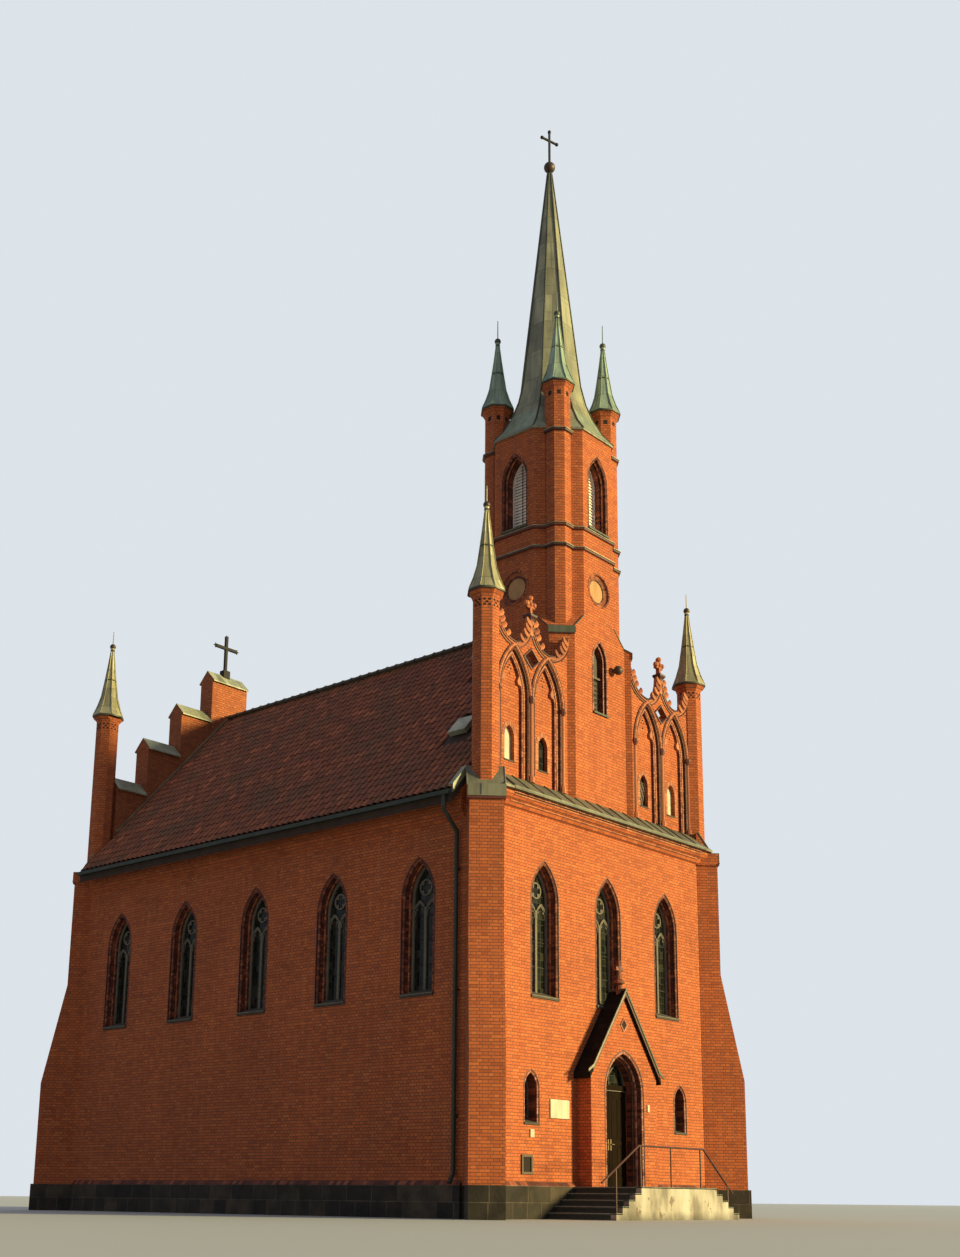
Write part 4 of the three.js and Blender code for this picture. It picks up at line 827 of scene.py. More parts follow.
# The finial's square post, cap and stem: (half of its width, z) and number
FINIAL = [([(0.062, 13.95), (0.062, 14.36)], 0),
          ([(0.07, 14.34), (0.085, 14.38), (0.13, 14.44), (0.13, 14.49), (0.06, 14.54)], 2),
          ([(0.045, 14.52), (0.038, 14.70), (0.038, 14.9)], 0)]
FINIAL_DEPTH = 0.03
LOBE = [(0.03, -0.070), (0.064, -0.045), (0.076, 0.0), (0.060, 0.045), (0.02, 0.070)]


def niche_window(centre):
    """The small window in a niche's back."""
    return Arch(0.18, 10.65, 11.25, 11.53, centre)


def quarter_sweep(x0, z0, x1, z1):
    """A branch that leaves level and ends upright."""
    turns = [math.pi / 2 * i / 14 for i in range(15)]
    return [(x0 + (x1 - x0) * math.sin(t), z0 + (z1 - z0) * (1 - math.cos(t))) for t in turns]


def offset_path(points, distance):
    """The path moved sideways to its left."""
    moved = []
    for i, p in enumerate(points):
        a = Vector(points[max(i - 1, 0)])
        b = Vector(points[min(i + 1, len(points) - 1)])
        along = (b - a).normalized()
        moved.append((p[0] - along.y * distance, p[1] + along.x * distance))
    return moved


def crocket(shape, u, z, lean, size):
    """A curled leaf on a gable's edge, leaning to the right with 1 and to the left with -1."""
    points = [(u + lean * out * size, CROCKET_DEPTH, z + up * size) for out, up, _ in CROCKET]
    shape.tube(points, [radius * size for *_, radius in CROCKET], 6, 0, NICHE_PLACE)


def branch(shape, path, side):
    """The moulded edge of an ogee gable: a dark roll on each side of a bright band, the dark rolls partly
    painted as the shadow lines along it.
    """
    def strip(depth, distance):
        return [(u, depth, z) for u, z in offset_path(path, distance * side)]
    for depth, distance, radius, number in BRANCH_ROLLS:
        shape.tube(strip(depth, distance), radius, 6, number, NICHE_PLACE)
    corners = [strip(-0.010, 0.03), strip(0.13, 0.03), strip(0.13, -0.145), strip(-0.010, -0.145)]
    shape.loft([list(ring) for ring in zip(*corners)], 0, NICHE_PLACE)


def niche(shape, holes, centre):
    """One niche: its orders with a trefoil head, its hood and its small window."""
    outer = Arch(0.57, LEDGE_TOP, NICHE_SPRING, 13.5, centre)
    inner = Arch(0.44, LEDGE_TOP, NICHE_SPRING, 13.33, centre)
    outer.blocks(shape, roll(-0.028, 0.02, 0.03), 2, NICHE_PLACE)
    outer.blocks(shape, roll(0.042, 0.0, 0.044, 8), 0, NICHE_PLACE, NICHE_SPRING)
    outer.blocks(shape, roll(0.10, -0.015, 0.018), 2, NICHE_PLACE, NICHE_SPRING)
    inner.blocks(shape, flat(0.0, 0.13, ARCADE_STEP - 0.012, ARCADE_STEP + 0.02), 0, NICHE_PLACE)
    for sign, number in ((-1, 2), (1, 1)):
        inner.blocks(shape, roll(-0.022, ARCADE_STEP + 0.02, 0.026), number, NICHE_PLACE, signs=(sign,))
    inner.blocks(shape, flat(-0.03, 0.003, ARCADE_STEP + 0.045, ARCADE_BACK), 3, NICHE_PLACE)
    stops = [inner.point(inner.spring + inner.length * share, out + 0.005) for share, out in TOOTH]
    for sign in (-1, 1):
        tooth = [(centre + sign * u, z) for u, z in stops]
        shape.prism(tooth, ARCADE_STEP + 0.005, ARCADE_BACK, 0, NICHE_PLACE)
    niche_window(centre).blocks(shape, flat(0.0, 0.11, -0.008, 0.01), 0, NICHE_BACK)
    shape.run(NICHE_SILL, (centre - 0.2, centre + 0.2), 4, NICHE_BACK)
    for du, dz in [*TREFOIL, (0, -0.14)]:
        hole(holes, centre + du, NICHE_HOLES_Z + dz, NICHE_BACK)


def hole(shape, u, z, place, half=0.022):
    """A small put-log hole in a wall's face, a square painted dark for the shade inside it."""
    shape.box((u - half, -0.004, z - half), (u + half, 0.01, z + half), 0, place)


def finial(shape, x):
    """The middle finial: a post, a flared dark cap, and a cross of leafy lobes."""
    square = [(-1, -1), (1, -1), (1, 1), (-1, 1)]
    for profile, number in FINIAL:
        rings = [[(x + a * half, FINIAL_DEPTH + b * half, z) for a, b in square] for half, z in profile]
        shape.loft(rings, number, NICHE_PLACE)
    for dx, z in ((-0.135, 14.79), (0.0, 14.79), (0.135, 14.79), (0, 14.95)):
        shape.lathe([(r, z + up) for r, up in LOBE], (x + dx, FINIAL_DEPTH), place=NICHE_PLACE)


def colonnette(shape, x, radius):
    """A slim shaft with a base and a dark capital, before the pier between two niches."""
    centre = (x, -0.005)
    base = radius + 0.03
    shaft = [(base, LEDGE_TOP), (base, 10.32), (radius, 10.38), (radius, COLONNETTE_TOP)]
    shape.lathe(shaft, centre, place=NICHE_PLACE)
    for side in (-1, 1):
        line = x + side * (radius + 0.018)
        shape.box((line - 0.012, -0.006, 10.4), (line + 0.012, 0.01, COLONNETTE_TOP), 2, NICHE_PLACE)
    capital = [(radius, 12.18), (radius + 0.015, 12.21), (0.09, 12.29), (0.09, 12.35), (radius, 12.38)]
    shape.lathe(capital, centre, 8, 2, place=NICHE_PLACE)


def make_arcades():
    """Two niches on each side of the tower, under ogee gables with crockets and a finial."""
    for name, sign in (("left", -1), ("right", 1)):
        shape, holes, panes = Shape(), Shape(), Shape()
        middle = sign * ARCADE_MID_X
        outer = sign * (ARCADE_MID_X + ARCADE_BAY / 2)
        inner = sign * (ARCADE_MID_X - ARCADE_BAY / 2)
        for centre in (outer, inner):
            niche(shape, holes, centre)
        branches = [(outer, sign * (PIER_INNER_X - 0.04), ARCADE_SIDE_PEAK),
                    (outer, middle + sign * 0.06, ARCADE_PEAK), (inner, middle - sign * 0.06, ARCADE_PEAK),
                    (inner, sign * 1.42, ARCADE_SIDE_PEAK)]
        for start, end, top in branches:
            path = quarter_sweep(start, ARCADE_VALLEY, end, top)
            side = 1 if end > start else -1
            branch(shape, path, side)
            for share, size in CROCKETS:
                u, z = path[round(share * (len(path) - 1))]
                crocket(shape, u, z + 0.01, -side, size)
        finial(shape, middle)
        for x, radius in ((middle, 0.05), (middle + sign * 1.26, 0.04), (middle - sign * 1.26, 0.04)):
            colonnette(shape, x, radius)
        lozenge = [(-0.29, 0.0), (0.0, -0.26), (0.29, 0.0), (0.0, 0.26)]
        shape.rim([(middle + u, -0.01, LOZENGE_Z + up) for u, up in lozenge], 0.025, 2, NICHE_PLACE)
        for x in (middle + sign * 1.17, middle - sign * 1.17):
            for du, dz in TREFOIL:
                hole(holes, x + du, GABLE_HOLES_Z + dz, NICHE_PLACE)
        for number, centre in enumerate((outer, inner)):
            panes.prism(niche_window(centre).outline(-0.002), 0.10, 0.115, number, NICHE_BACK)
        if sign > 0:
            for i in range(-2, 3):
                x = inner + i * 0.07
                panes.tube([(x - 0.1, 0.09, 10.7), (x + 0.1, 0.09, 11.35)], 0.008, 4, 0, NICHE_BACK)
        bricks = [ORANGE_ORDER, PINK_ROLL, GLAZED_AND_SHADE, DARK_ORDER, SILL]
        shape.make(f"arcade_{name}_mouldings", bricks, "brick")
        holes.make(f"arcade_{name}_holes", [PAINTED_SHADE], "brick")
        panes.make(f"arcade_{name}_panels", [CREAM, GLASS], "louvre")


# Tower
# A string course: (outwards from the wall, up)
STRING = [(-0.06, 0.03), (0.03, 0.03), (0.072, 0.012), (0.072, -0.004), (-0.06, -0.004)]
STRING_ROLL = [(-0.05, 0.0), (0.045, 0.0), (0.060, -0.022), (0.052, -0.052), (0.02, -0.07), (-0.05, -0.07)]
STRING_HEIGHTS = (17.05, 17.62)
TURRET_STRING = 20.35
BELFRY = Arch(0.44, 17.7, 19.14, 19.92)
BELFRY_ORDERS = [(roll(-0.030, 0.030, 0.035), 1), (flat(-0.070, 0.003, 0.075, 0.22), 1),
                 (roll(-0.085, 0.115, 0.024), 3), (flat(-0.12, 0.003, 0.18, 0.42), 1), (EDGE_BAND, 3)]
BELFRY_SILL = [(0.34, 17.68), (0.34, 17.84), (-0.05, 17.735), (-0.05, 17.69)]
BOARD = [(0.345, 0.0), (0.355, -0.005), (0.390, 0.078), (0.380, 0.082)]
BOARD_HEIGHTS = (17.74, 19.72)
BOARD_PITCH = 0.088
OCULUS_SPLAY = [(-0.055, 0.12), (-0.055, 0.088), (0.045, 0.018), (0.06, 0.12)]
OCULUS_DISC = 0.31
BASE = Arch(0.32, 12.64, 14.08, 14.64)
BASE_ORDERS = [(roll(-0.012, 0.005, 0.032), 0), (flat(-0.06, 0.003, 0.05, 0.12), 1),
               (roll(-0.08, 0.075, 0.026), 0), (flat(-0.115, 0.003, 0.12, 0.21), 1)]
BASE_SILL = [(0.19, 12.6), (0.19, 12.80), (-0.05, 12.66), (-0.05, 12.61)]


def string_course(shape, centre, apothem, z):
    """A weathered top of copper over a dark moulded course, round an eight-sided shaft."""
    for profile, number in ((STRING, 0), (STRING_ROLL, 1)):
        rings = octagon(centre, [(apothem + out, z + up) for out, up in profile])
        shape.loft(rings, number, closed=True)


def make_strings():
    """String courses round the tower and its turrets, and one more under the turrets' caps."""
    shape = Shape()
    turrets = [((x, y), apothem) for x, y, apothem, *_ in tower_turret_centres()]
    for z in STRING_HEIGHTS:
        for centre, apothem in [(TOWER_AXIS, TOWER_APOTHEM), *turrets]:
            string_course(shape, centre, apothem, z)
    for centre, apothem in turrets:
        string_course(shape, centre, apothem, TURRET_STRING)
    shape.make("tower_strings", [PALE_COPPER, GLAZED_AND_SHADE], "copper")


def make_belfry():
    """The four belfry openings: orders, a frame, sloped boards on a middle post, and a sill."""
    brick, boards = Shape(), Shape()
    for i in range(4):
        place = tower_face(i)
        BELFRY.orders(brick, BELFRY_ORDERS, place)
        BELFRY.band(boards, flat(-0.15, -0.115, 0.325, 0.42), 0, place)
        boards.box((-0.008, 0.335, 17.7), (0.008, 0.42, 19.7), 3, place)
        z = BOARD_HEIGHTS[0]
        while z < BOARD_HEIGHTS[1]:
            half = max(0.012, min(BELFRY.width_at(z, -0.13), BELFRY.width_at(z + 0.06, -0.13)))
            for sign in (-1, 1):
                boards.run([(d, z + up) for d, up in BOARD], (sign * 0.005, sign * half), 0, place)
            z += BOARD_PITCH
        boards.run(BELFRY_SILL, (-0.438, 0.438), 1, place)
    brick.make("belfry_orders", WINDOW_BRICK, "brick")
    louvres = boards.make("belfry_boards", [LOUVRE, DARK_COPPER, BLACK_IRON, TRACERY], "louvre")
    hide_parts("belfry_louvres")


def make_oculi():
    """Round recesses: an outer roll, a splay, an inner ring and a tan disc."""
    rings, discs = Shape(), Shape()
    centre = (0, OCULUS_Z)
    turns = [2 * math.pi * k / 32 for k in range(32)]
    disc = [(OCULUS_DISC * math.cos(t), OCULUS_Z + OCULUS_DISC * math.sin(t)) for t in turns]
    for i in range(4):
        place = tower_face(i)
        rings.hoop(centre, 0.452, roll(0.0, 0.004, 0.032), 40, 3, place, JOINT)
        rings.hoop(centre, 0.395, OCULUS_SPLAY, 36, 3, place, JOINT)
        rings.hoop(centre, 0.325, flat(-0.022, 0.02, 0.07, 0.125), 32, 1, place, JOINT)
        discs.prism(disc, 0.10, 0.13, 0, place)
    rings.make("oculus_rings", WINDOW_BRICK, "brick")
    discs.make("oculus_discs", [PLASTER], "render")


def make_base_window():
    """The tower's window over the ledge: orders, a bar, a lattice and a sill."""
    brick, trim = Shape(), Shape()
    place = tower_face(0)
    BASE.orders(brick, BASE_ORDERS, place)
    trim.box((-0.215, 0.13, 13.63), (0.215, 0.185, 13.68), 0, place)
    for i in range(7):
        z = 12.78 + i * 0.13
        trim.tube([(-0.2, 0.175, z), (0.2, 0.175, z + 0.09)], 0.007, 4, 0, place)
        trim.tube([(-0.2, 0.18, z + 0.09), (0.2, 0.18, z)], 0.007, 4, 0, place)
    trim.run(BASE_SILL, (-0.318, 0.318), 1, place)
    brick.make("tower_window_orders", WINDOW_BRICK, "brick")
    trim.make("tower_window_trim", [BROWN_METAL, ZINC], "louvre")


# The copper cap on a shoulder's end: (distance from the tower's axis, height)
SHOULDER_CAP = [(1.80, 14.80), (2.115, 14.635), (2.115, 14.475), (2.085, 14.46), (1.80, 14.70)]

# The sloped top of the tower's base, on one side: (across, height)
RAKE = [(0.654, 15.17), (1.113, 14.713), (1.36, 14.458)]


def make_shoulders():
    """Brick ends with copper tops on the tower's four diagonal buttresses, a dark strip under each end
    painted as its shadow line, and rolls on the rakes, dark on the rear and left faces as painted shade.
    """
    shape = Shape()
    half = ARM_HALF + 0.002
    sheet = ARM_HALF + 0.025
    (back, back_z), (end, end_z), (_, foot_z) = SHOULDER_CAP[:3]
    cover = [(back, back_z + 0.004), (end + 0.012, end_z + 0.004), (end + 0.012, foot_z),
             (end + 0.001, foot_z), (end + 0.001, end_z - 0.012), (back, back_z - 0.012)]
    for turn in (45, 135, 225, 315):
        place = placed(*TOWER_AXIS, turn)
        shape.run([(-out, z) for out, z in SHOULDER_CAP], (-half, half), 2, place)
        shape.run([(-out, z) for out, z in cover], (-sheet, sheet), 0, place)
        # Painted shadow: a thin dark strip under the cap's end
        shape.box((-half, -end - 0.004, foot_z - 0.025), (half, -end + 0.03, foot_z - 0.003), 1, place)
    # Painted shade: the rolls on the rear and left faces, away from the sun, are dark brick, those on the
    # front and right pale copper
    for i, number in enumerate((0, 0, 1, 1)):
        for sign in (-1, 1):
            points = [(sign * u, -0.005, z + 0.01) for u, z in RAKE]
            for ends in zip(points, points[1:]):
                shape.tube(ends, 0.016, 6, number, tower_face(i))
    shape.make("shoulder_caps", [SHOULDER_COPPER, GLAZED_AND_SHADE, BRICK], "copper")


# A turret's cap: (share of the eave's apothem, share of the height up to its ball)
SPIRELET_CURVE = [(1.0, 0.0), (0.76, 0.12), (0.54, 0.27), (0.37, 0.5), (0.23, 0.71), (0.1, 0.93)]


def arris_ribs(shape, centre, profile, radius, number):
    """Rolls along the arrises of an eight-sided cap. The profile is (apothem, z)."""
    for points in octagon(centre, profile):
        shape.tube(points, radius, 6, number)


def spire_seams(shape, profile):
    """Level welts between the spire's sheets, higher on every other face."""
    (low_a, low_z), (high_a, high_z) = profile[-2:]
    for k in range(8):
        z = low_z + (0.35 if k % 2 else 0.8)
        while z < high_z - 0.5:
            a = low_a + (high_a - low_a) * (z - low_z) / (high_z - low_z)
            corners = [ring[0] for ring in octagon(TOWER_AXIS, [(a, z)])]
            shape.tube([corners[k - 1], corners[k]], 0.009, 4)
            z += 0.9


def spirelet_trim(shape, x, y, eave, eave_z, ball_z):
    """A turret cap's ribs, seam, eave edge, collar and ball."""
    on_tower = eave_z > SPIRE_FOOT
    cap = [(eave * across, eave_z + 0.035 + up * (ball_z - eave_z)) for across, up in SPIRELET_CURVE]
    arris_ribs(shape, (x, y), cap, 0.013, 0 if on_tower else 3)
    seam_a, seam_z = cap[3]
    shape.lathe([(seam_a + 0.012, seam_z - 0.015), (seam_a + 0.008, seam_z + 0.015)], (x, y), 8, 2)
    lip = [(eave + 0.012, eave_z - 0.03), (eave + 0.014, eave_z + 0.015), (eave - 0.01, eave_z + 0.03)]
    shape.lathe(lip, (x, y), 8, 2)
    shape.lathe([(0.05, ball_z - 0.16), (0.07, ball_z - 0.13), (0.05, ball_z - 0.1)], (x, y), 12, 2)
    shape.ball((x, y), 0.09, ball_z, 2 if on_tower else 1)


def make_spires():
    """Ribs, seams, eave edges and balls of the spire and of the eight turret caps."""
    shape, flare = Shape(), Shape()
    profile = [(a, SPIRE_FOOT + up) for a, up in SPIRE]
    arris_ribs(shape, TOWER_AXIS, profile, 0.026, 2)
    spire_seams(shape, profile)
    for x, y, _, *cap in [*turret_centres(), *tower_turret_centres()]:
        spirelet_trim(shape, x, y, *cap)
    shape.ball(TOWER_AXIS, 0.165, SPIRE_BALL, 1, 24)
    metals = [TOWER_COPPER, BROWN_METAL, DARK_COPPER, CORNER_COPPER]
    shape.make("spire_trim", metals, "copper", smooth=50)
    skin = [(a + 0.006, z) for a, z in profile[:3]]
    under = [(a - 0.03, z) for a, z in reversed(profile[:3])]
    flare.loft(octagon(TOWER_AXIS, skin + under), closed=True)
    flare.make("spire_flare", [FLARE_COPPER], "copper")


TURRET_HOLES = [(0, 0), (-0.06, 0.065), (0.06, 0.065), (-0.06, -0.065), (0.06, -0.065)]


def turret_faces(x, y, apothem):
    """Axes of a turret's eight faces."""
    return [deeper(placed(x, y, k * 45), -apothem) for k in range(8)]


def make_turret_heads():
    """The small holes under each turret's eave, squares painted dark for the shade inside them."""
    holes = Shape()
    for x, y, apothem, _, eave_z, _ in turret_centres():
        for face in turret_faces(x, y, apothem):
            for du, dz in TURRET_HOLES:
                hole(holes, du, eave_z - 0.34 + dz, face, 0.027)
    for x, y, apothem, _, eave_z, _ in tower_turret_centres():
        for face in turret_faces(x, y, apothem):
            holes.box((-0.05, -0.004, eave_z - 0.40), (0.05, 0.01, eave_z - 0.27), 0, face)
    holes.make("turret_holes", [PAINTED_SHADE], "brick")


# The copper on a corner buttress: (distance from the turret's axis, height)
CAP_OUTSIDE = [(0.626, 9.395), (0.626, 9.682), (0.415, 9.684), (0.06, 10.262)]
CAP_INSIDE = [(0.05, 10.235), (0.40, 9.668), (0.61, 9.666), (0.61, 9.395)]


def make_corner_caps():
    """Copper over the set-off at the top of each corner buttress: a steep slope, a flat and a fascia, with a
    dark strip under the fascia painted as its shadow line.
    """
    shape = Shape()
    half = CORNER_CAP_HALF + 0.006
    for (sx, sy), (x, y, *_) in zip(DIAGONALS, turret_centres()):
        place = placed(x, y, math.degrees(math.atan2(sy, sx)) + 90)
        shape.run([(-out, z) for out, z in CAP_OUTSIDE + CAP_INSIDE], (-half, half), 0, place)
        shape.tube([(-half, -0.63, 9.402), (half, -0.63, 9.402)], 0.013, 6, 0, place)
        shape.tube([(-0.13, -0.628, 9.40), (-0.13, -0.628, 9.68)], 0.010, 6, 1, place)
        # Painted shadow: a thin dark strip under the fascia
        shape.box((-half + 0.002, -0.622, 9.335), (half - 0.002, -0.55, 9.392), 2, place)
        for side in (-1, 1):
            edge = [(side * half, -out, z + 0.006) for out, z in CAP_OUTSIDE[2:]]
            shape.tube(edge, 0.012, 6, 0, place)
    shape.make("corner_caps", [CAP_COPPER, DARK_COPPER, GLAZED_AND_SHADE], "copper")


# Roofs
# A pantile's section: (across, up)
PANTILE = [(-0.11, 0.0), (-0.075, 0.030), (-0.03, 0.052), (0.01, 0.040), (0.05, 0.004), (0.09, -0.004),
           (0.115, 0.010)]
TILE_ROW = 0.30
TILE_LENGTH = 0.37
TILE_THICK = 0.016
TILE_RISE = (-0.040, -0.012)
BED_DROP = 0.07
BED_THICK = 0.30
FALL = math.sqrt(1 + ROOF_SLOPE ** 2)

# The hatch in the left slope: its middle and half of its size, each as (x, y)
HATCH = (3.35, 1.9)
HATCH_HALF = (0.42, 0.36)

# Half of the roof's plan, cut out round the tower: (x, y)
ROOF_PLAN = [(0, 3.32), (1.113, 3.32), (1.241, 3.448), (1.708, 2.981), (1.58, 2.853), (1.58, 0.627),
             (1.607, 0.6), (5.25, 0.6), (5.25, 15.1), (0, 15.1)]

# The copper at the roof's front corners: (y, height over the roof)
VERGE_END = [(0.57, -0.16), (0.57, 0.05), (0.72, 0.05), (0.72, 0.03), (0.60, 0.03), (0.60, -0.16)]
RIDGE_TILE = 0.40
RIDGE_PITCH = 0.375
FILLET_Y = 15.06
FILLET_FOOT_X = 4.1


def roof_z(x):
    """The roof's height at a distance from the middle."""
    return RIDGE_Z - ROOF_SLOPE * x


def make_roof_tiles():
    """Each slope: a slab a little under the part's, painted dark as the shade under the eave, and rows of
    lapped pantiles up to the part's plane.
    """
    rng = random.Random(7)
    slope_length = EAVE_X * FALL
    for name, sign in (("left", -1), ("right", 1)):
        shape = Shape()
        drops = (BED_DROP, BED_DROP + BED_THICK)
        # The slab takes number 1, painted dark as the shade under the eave
        shape.loft([[(sign * x, y, roof_z(x) - drop) for x, y in ROOF_PLAN] for drop in drops], 1)
        for row in range(int(slope_length / TILE_ROW)):
            down = slope_length - (row + 1) * TILE_ROW
            for column in range(TILE_COLUMNS):
                y = ROOF_ENDS[0] + (column + 0.5) * TILE_WIDTH
                if not tile_hidden((down + TILE_ROW / 2) / FALL, y, sign):
                    pantile(shape, sign, max(0.0, down + TILE_ROW - TILE_LENGTH), y, rng)
        tiles = shape.make(f"pantiles_{name}", [TILES, SHADE_SOFFIT], "roof_tile", smooth=40)
        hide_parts(f"roof_slope_{name}")


def pantile(shape, sign, head, y, rng):
    """One tile, a little uneven. Its head is that far down the slope from the ridge."""
    lift = rng.uniform(-0.004, 0.006)
    skew = rng.uniform(-0.006, 0.006)
    rings = []
    for part, rise in enumerate(TILE_RISE):
        x = (head + part * TILE_LENGTH) / FALL
        section = [(y + across + skew * part, up + rise + lift) for across, up in PANTILE]
        section += [(side, height - TILE_THICK) for side, height in reversed(section)]
        rings.append([(sign * (x + height * ROOF_SLOPE / FALL), side, roof_z(x) + height / FALL)
                      for side, height in section])
    shape.loft(rings)


def tile_hidden(x, y, sign):
    """Whether a tile would lie inside the tower, one of its buttresses or the hatch."""
    in_tower = x < TOWER_APOTHEM and y < TOWER_Y + TOWER_APOTHEM
    back = abs(y - TOWER_Y)
    beside_end = x + back < ARM_REACH * math.sqrt(2) + 0.08
    in_buttress = beside_end and abs(x - back) < ARM_HALF * math.sqrt(2) + 0.08
    in_hatch = sign < 0 and abs(x - HATCH[0]) < HATCH_HALF[0] and abs(y - HATCH[1]) < HATCH_HALF[1]
    return in_tower or in_buttress or in_hatch


def make_verge_ends():
    """Copper on the roof's front edge beside each corner turret."""
    shape = Shape()
    for sign in (-1, 1):
        shape.loft([[(sign * x, y, roof_z(x) + up) for y, up in VERGE_END] for x in (4.76, 5.22)])
    shape.make("verge_ends", [PALE_COPPER], "copper")


def make_ridge():
    """Lapped half-round ridge tiles, and the mortar where the slopes meet the rear gable."""
    shape, fillet = Shape(), Shape()
    turns = [math.pi * k / 8 for k in range(9)]
    y = TOWER_Y + TOWER_APOTHEM
    while y < ROOF_ENDS[1] - 0.02:
        end = min(y + RIDGE_TILE, ROOF_ENDS[1] - 0.01)
        stops = [(y, 0.135), (y + 0.03, 0.14), (y + 0.05, 0.12), (end, 0.115)]
        shape.loft([[(r * math.cos(t), stop, RIDGE_Z + 0.005 + r * math.sin(t)) for t in turns]
                    for stop, r in stops])
        y += RIDGE_PITCH
    shape.make("ridge_tiles", [RIDGE_CLAY], "roof_tile", smooth=40)
    for sign in (-1, 1):
        top = (sign * 0.05, FILLET_Y, RIDGE_Z + 0.02)
        foot = (sign * FILLET_FOOT_X, FILLET_Y, roof_z(FILLET_FOOT_X) + 0.05)
        fillet.tube([top, foot], 0.060, 6)
    fillet.make("gable_fillet", [CEMENT], "render")


# Rear gable
# A coping's copper sheet: (from the gable's middle, up from the step)
COPING = [(-0.38, -0.03), (-0.38, 0.01), (0.0, 0.40), (0.38, 0.01), (0.38, -0.03), (0.362, -0.03),
          (0.362, 0.002), (0.0, 0.378), (-0.362, 0.002), (-0.362, -0.03)]


def make_copings():
    """Copper sheet over the gable's saddle copings, in lengths with welts between them."""
    shape = Shape()
    middle = LENGTH - GABLE_THICK / 2
    for outer, inner, top in zip(STEP_EDGES, [*STEP_EDGES[1:], 0.0], STEP_TOPS):
        edges = [outer + 0.015 - (outer + 0.015 - inner) * k / 3 for k in range(4)]
        for sign in (-1, 1):
            for a, b in zip(edges, edges[1:]):
                ends = span(sign, a - 0.004, b + 0.004)
                shape.loft([[(x, middle + back, top + up) for back, up in COPING] for x in ends])
    shape.make("coping_sheets", [PALE_COPPER], "copper")


# Ledge, cornice and plinth course
# Courses under the ledge: (lowest z, highest z, how far out, depth behind, number)
# The second course is painted dark, as the shade in the recess under the ledge
CORNICE_COURSES = [(9.648, 9.695, 0.262, 0.06, 1), (9.505, 9.580, 0.150, 0.05, 2)]

# Rolls: (height, how far out, radius, number)
# The thin rolls of number 2 are painted dark, as shadow lines
CORNICE_ROLLS = [(9.642, 0.262, 0.012, 2), (9.608, 0.232, 0.030, 1), (9.485, 0.118, 0.024, 1),
                 (9.452, 0.085, 0.012, 2)]
COURSE_PITCH = 0.125
PLINTH_COURSE = [(0.004, 0.72), (-0.071, 0.72), (-0.071, 0.74), (0.004, 0.82)]
LEDGE_SLOPE = [(-LEDGE_OUT - 0.012, 9.70), (-LEDGE_OUT - 0.012, 9.775), (ARCADE_FRONT, LEDGE_TOP + 0.012),
               (ARCADE_FRONT, LEDGE_TOP - 0.02), (-LEDGE_OUT + 0.01, 9.70)]
EAVE_STRING_Z = 9.21
PORCH_HALF = 1.36


def make_ledge():
    """Copper sheets with standing seams on the ledge beside the tower."""
    sheets = Shape()
    rng = random.Random(11)
    x = -PIER_INNER_X + 0.05
    while x < PIER_INNER_X - 0.1:
        end = min(x + rng.uniform(0.42, 0.68), PIER_INNER_X - 0.05)
        sheets.run(LEDGE_SLOPE, (x + 0.004, end - 0.004))
        sheets.tube([(x, -LEDGE_OUT, 9.785), (x, ARCADE_FRONT, LEDGE_TOP + 0.024)], 0.020, 6, 1)
        x = end
    reach = PIER_INNER_X - 0.06
    sheets.box((-reach, -LEDGE_OUT - 0.018, 9.698), (reach, -LEDGE_OUT, 9.750), 1)
    sheets.make("ledge_sheets", [LEDGE_COPPER, DARK_COPPER], "copper")


def make_cornice():
    """Rough orange courses between thin rolls painted dark as shadow lines, over a course painted dark as
    the recess's shade, all as separate bricks.
    """
    shape = Shape()
    rng = random.Random(5)
    reach = PIER_INNER_X - 0.16
    count = round(2 * reach / COURSE_PITCH)
    step = 2 * reach / count
    for i in range(count):
        x0, x1 = -reach + i * step + 0.004, -reach + (i + 1) * step - 0.004
        for low, high, out, back, number in CORNICE_COURSES:
            proud = out + rng.uniform(-0.008, 0.008)
            shape.box((x0, -proud, low), (x1, -proud + back, high), number)
        if i % 2:
            for z, out, r, number in CORNICE_ROLLS:
                shape.tube([(x0 - step, -out, z), (x1, -out, z)], r, 8, number)
    shape.make("cornice_courses", [GLAZED_AND_SHADE, ORANGE_ORDER, PAINTED_SHADE], "brick")


def make_plinth_course():
    """Bevelled bricks along the plinth's top."""
    course = Shape()
    half_side = LENGTH / 2 - ROOF_ENDS[0]
    runs = [(placed(0, 0), -PIER_INNER_X, -PORCH_HALF), (placed(0, 0), PORCH_HALF, PIER_INNER_X),
            (placed(-HALF_WIDTH, LENGTH / 2, -90), -half_side, half_side),
            (placed(HALF_WIDTH, LENGTH / 2, 90), -half_side, half_side),
            (placed(0, LENGTH, 180), -PIER_INNER_X, PIER_INNER_X)]
    for place, low, high in runs:
        count = round((high - low) / COURSE_PITCH)
        step = (high - low) / count
        for i in range(count):
            ends = (low + i * step + 0.003, low + (i + 1) * step - 0.003)
            course.run(PLINTH_COURSE, ends, 0, place)
    course.make("plinth_course", [DARK_ORDER], "brick")


def make_eave_strings():
    """A dark roll along each nave wall, a little under the gutter."""
    shape = Shape()
    for sign in (-1, 1):
        x = sign * (HALF_WIDTH + 0.008)
        ends = (ROOF_ENDS[0] + 0.1, ROOF_ENDS[1] - 0.1)
        shape.tube([(x, y, EAVE_STRING_Z) for y in ends], 0.028, 6)
    shape.make("eave_strings", [GLAZED_AND_SHADE], "brick")


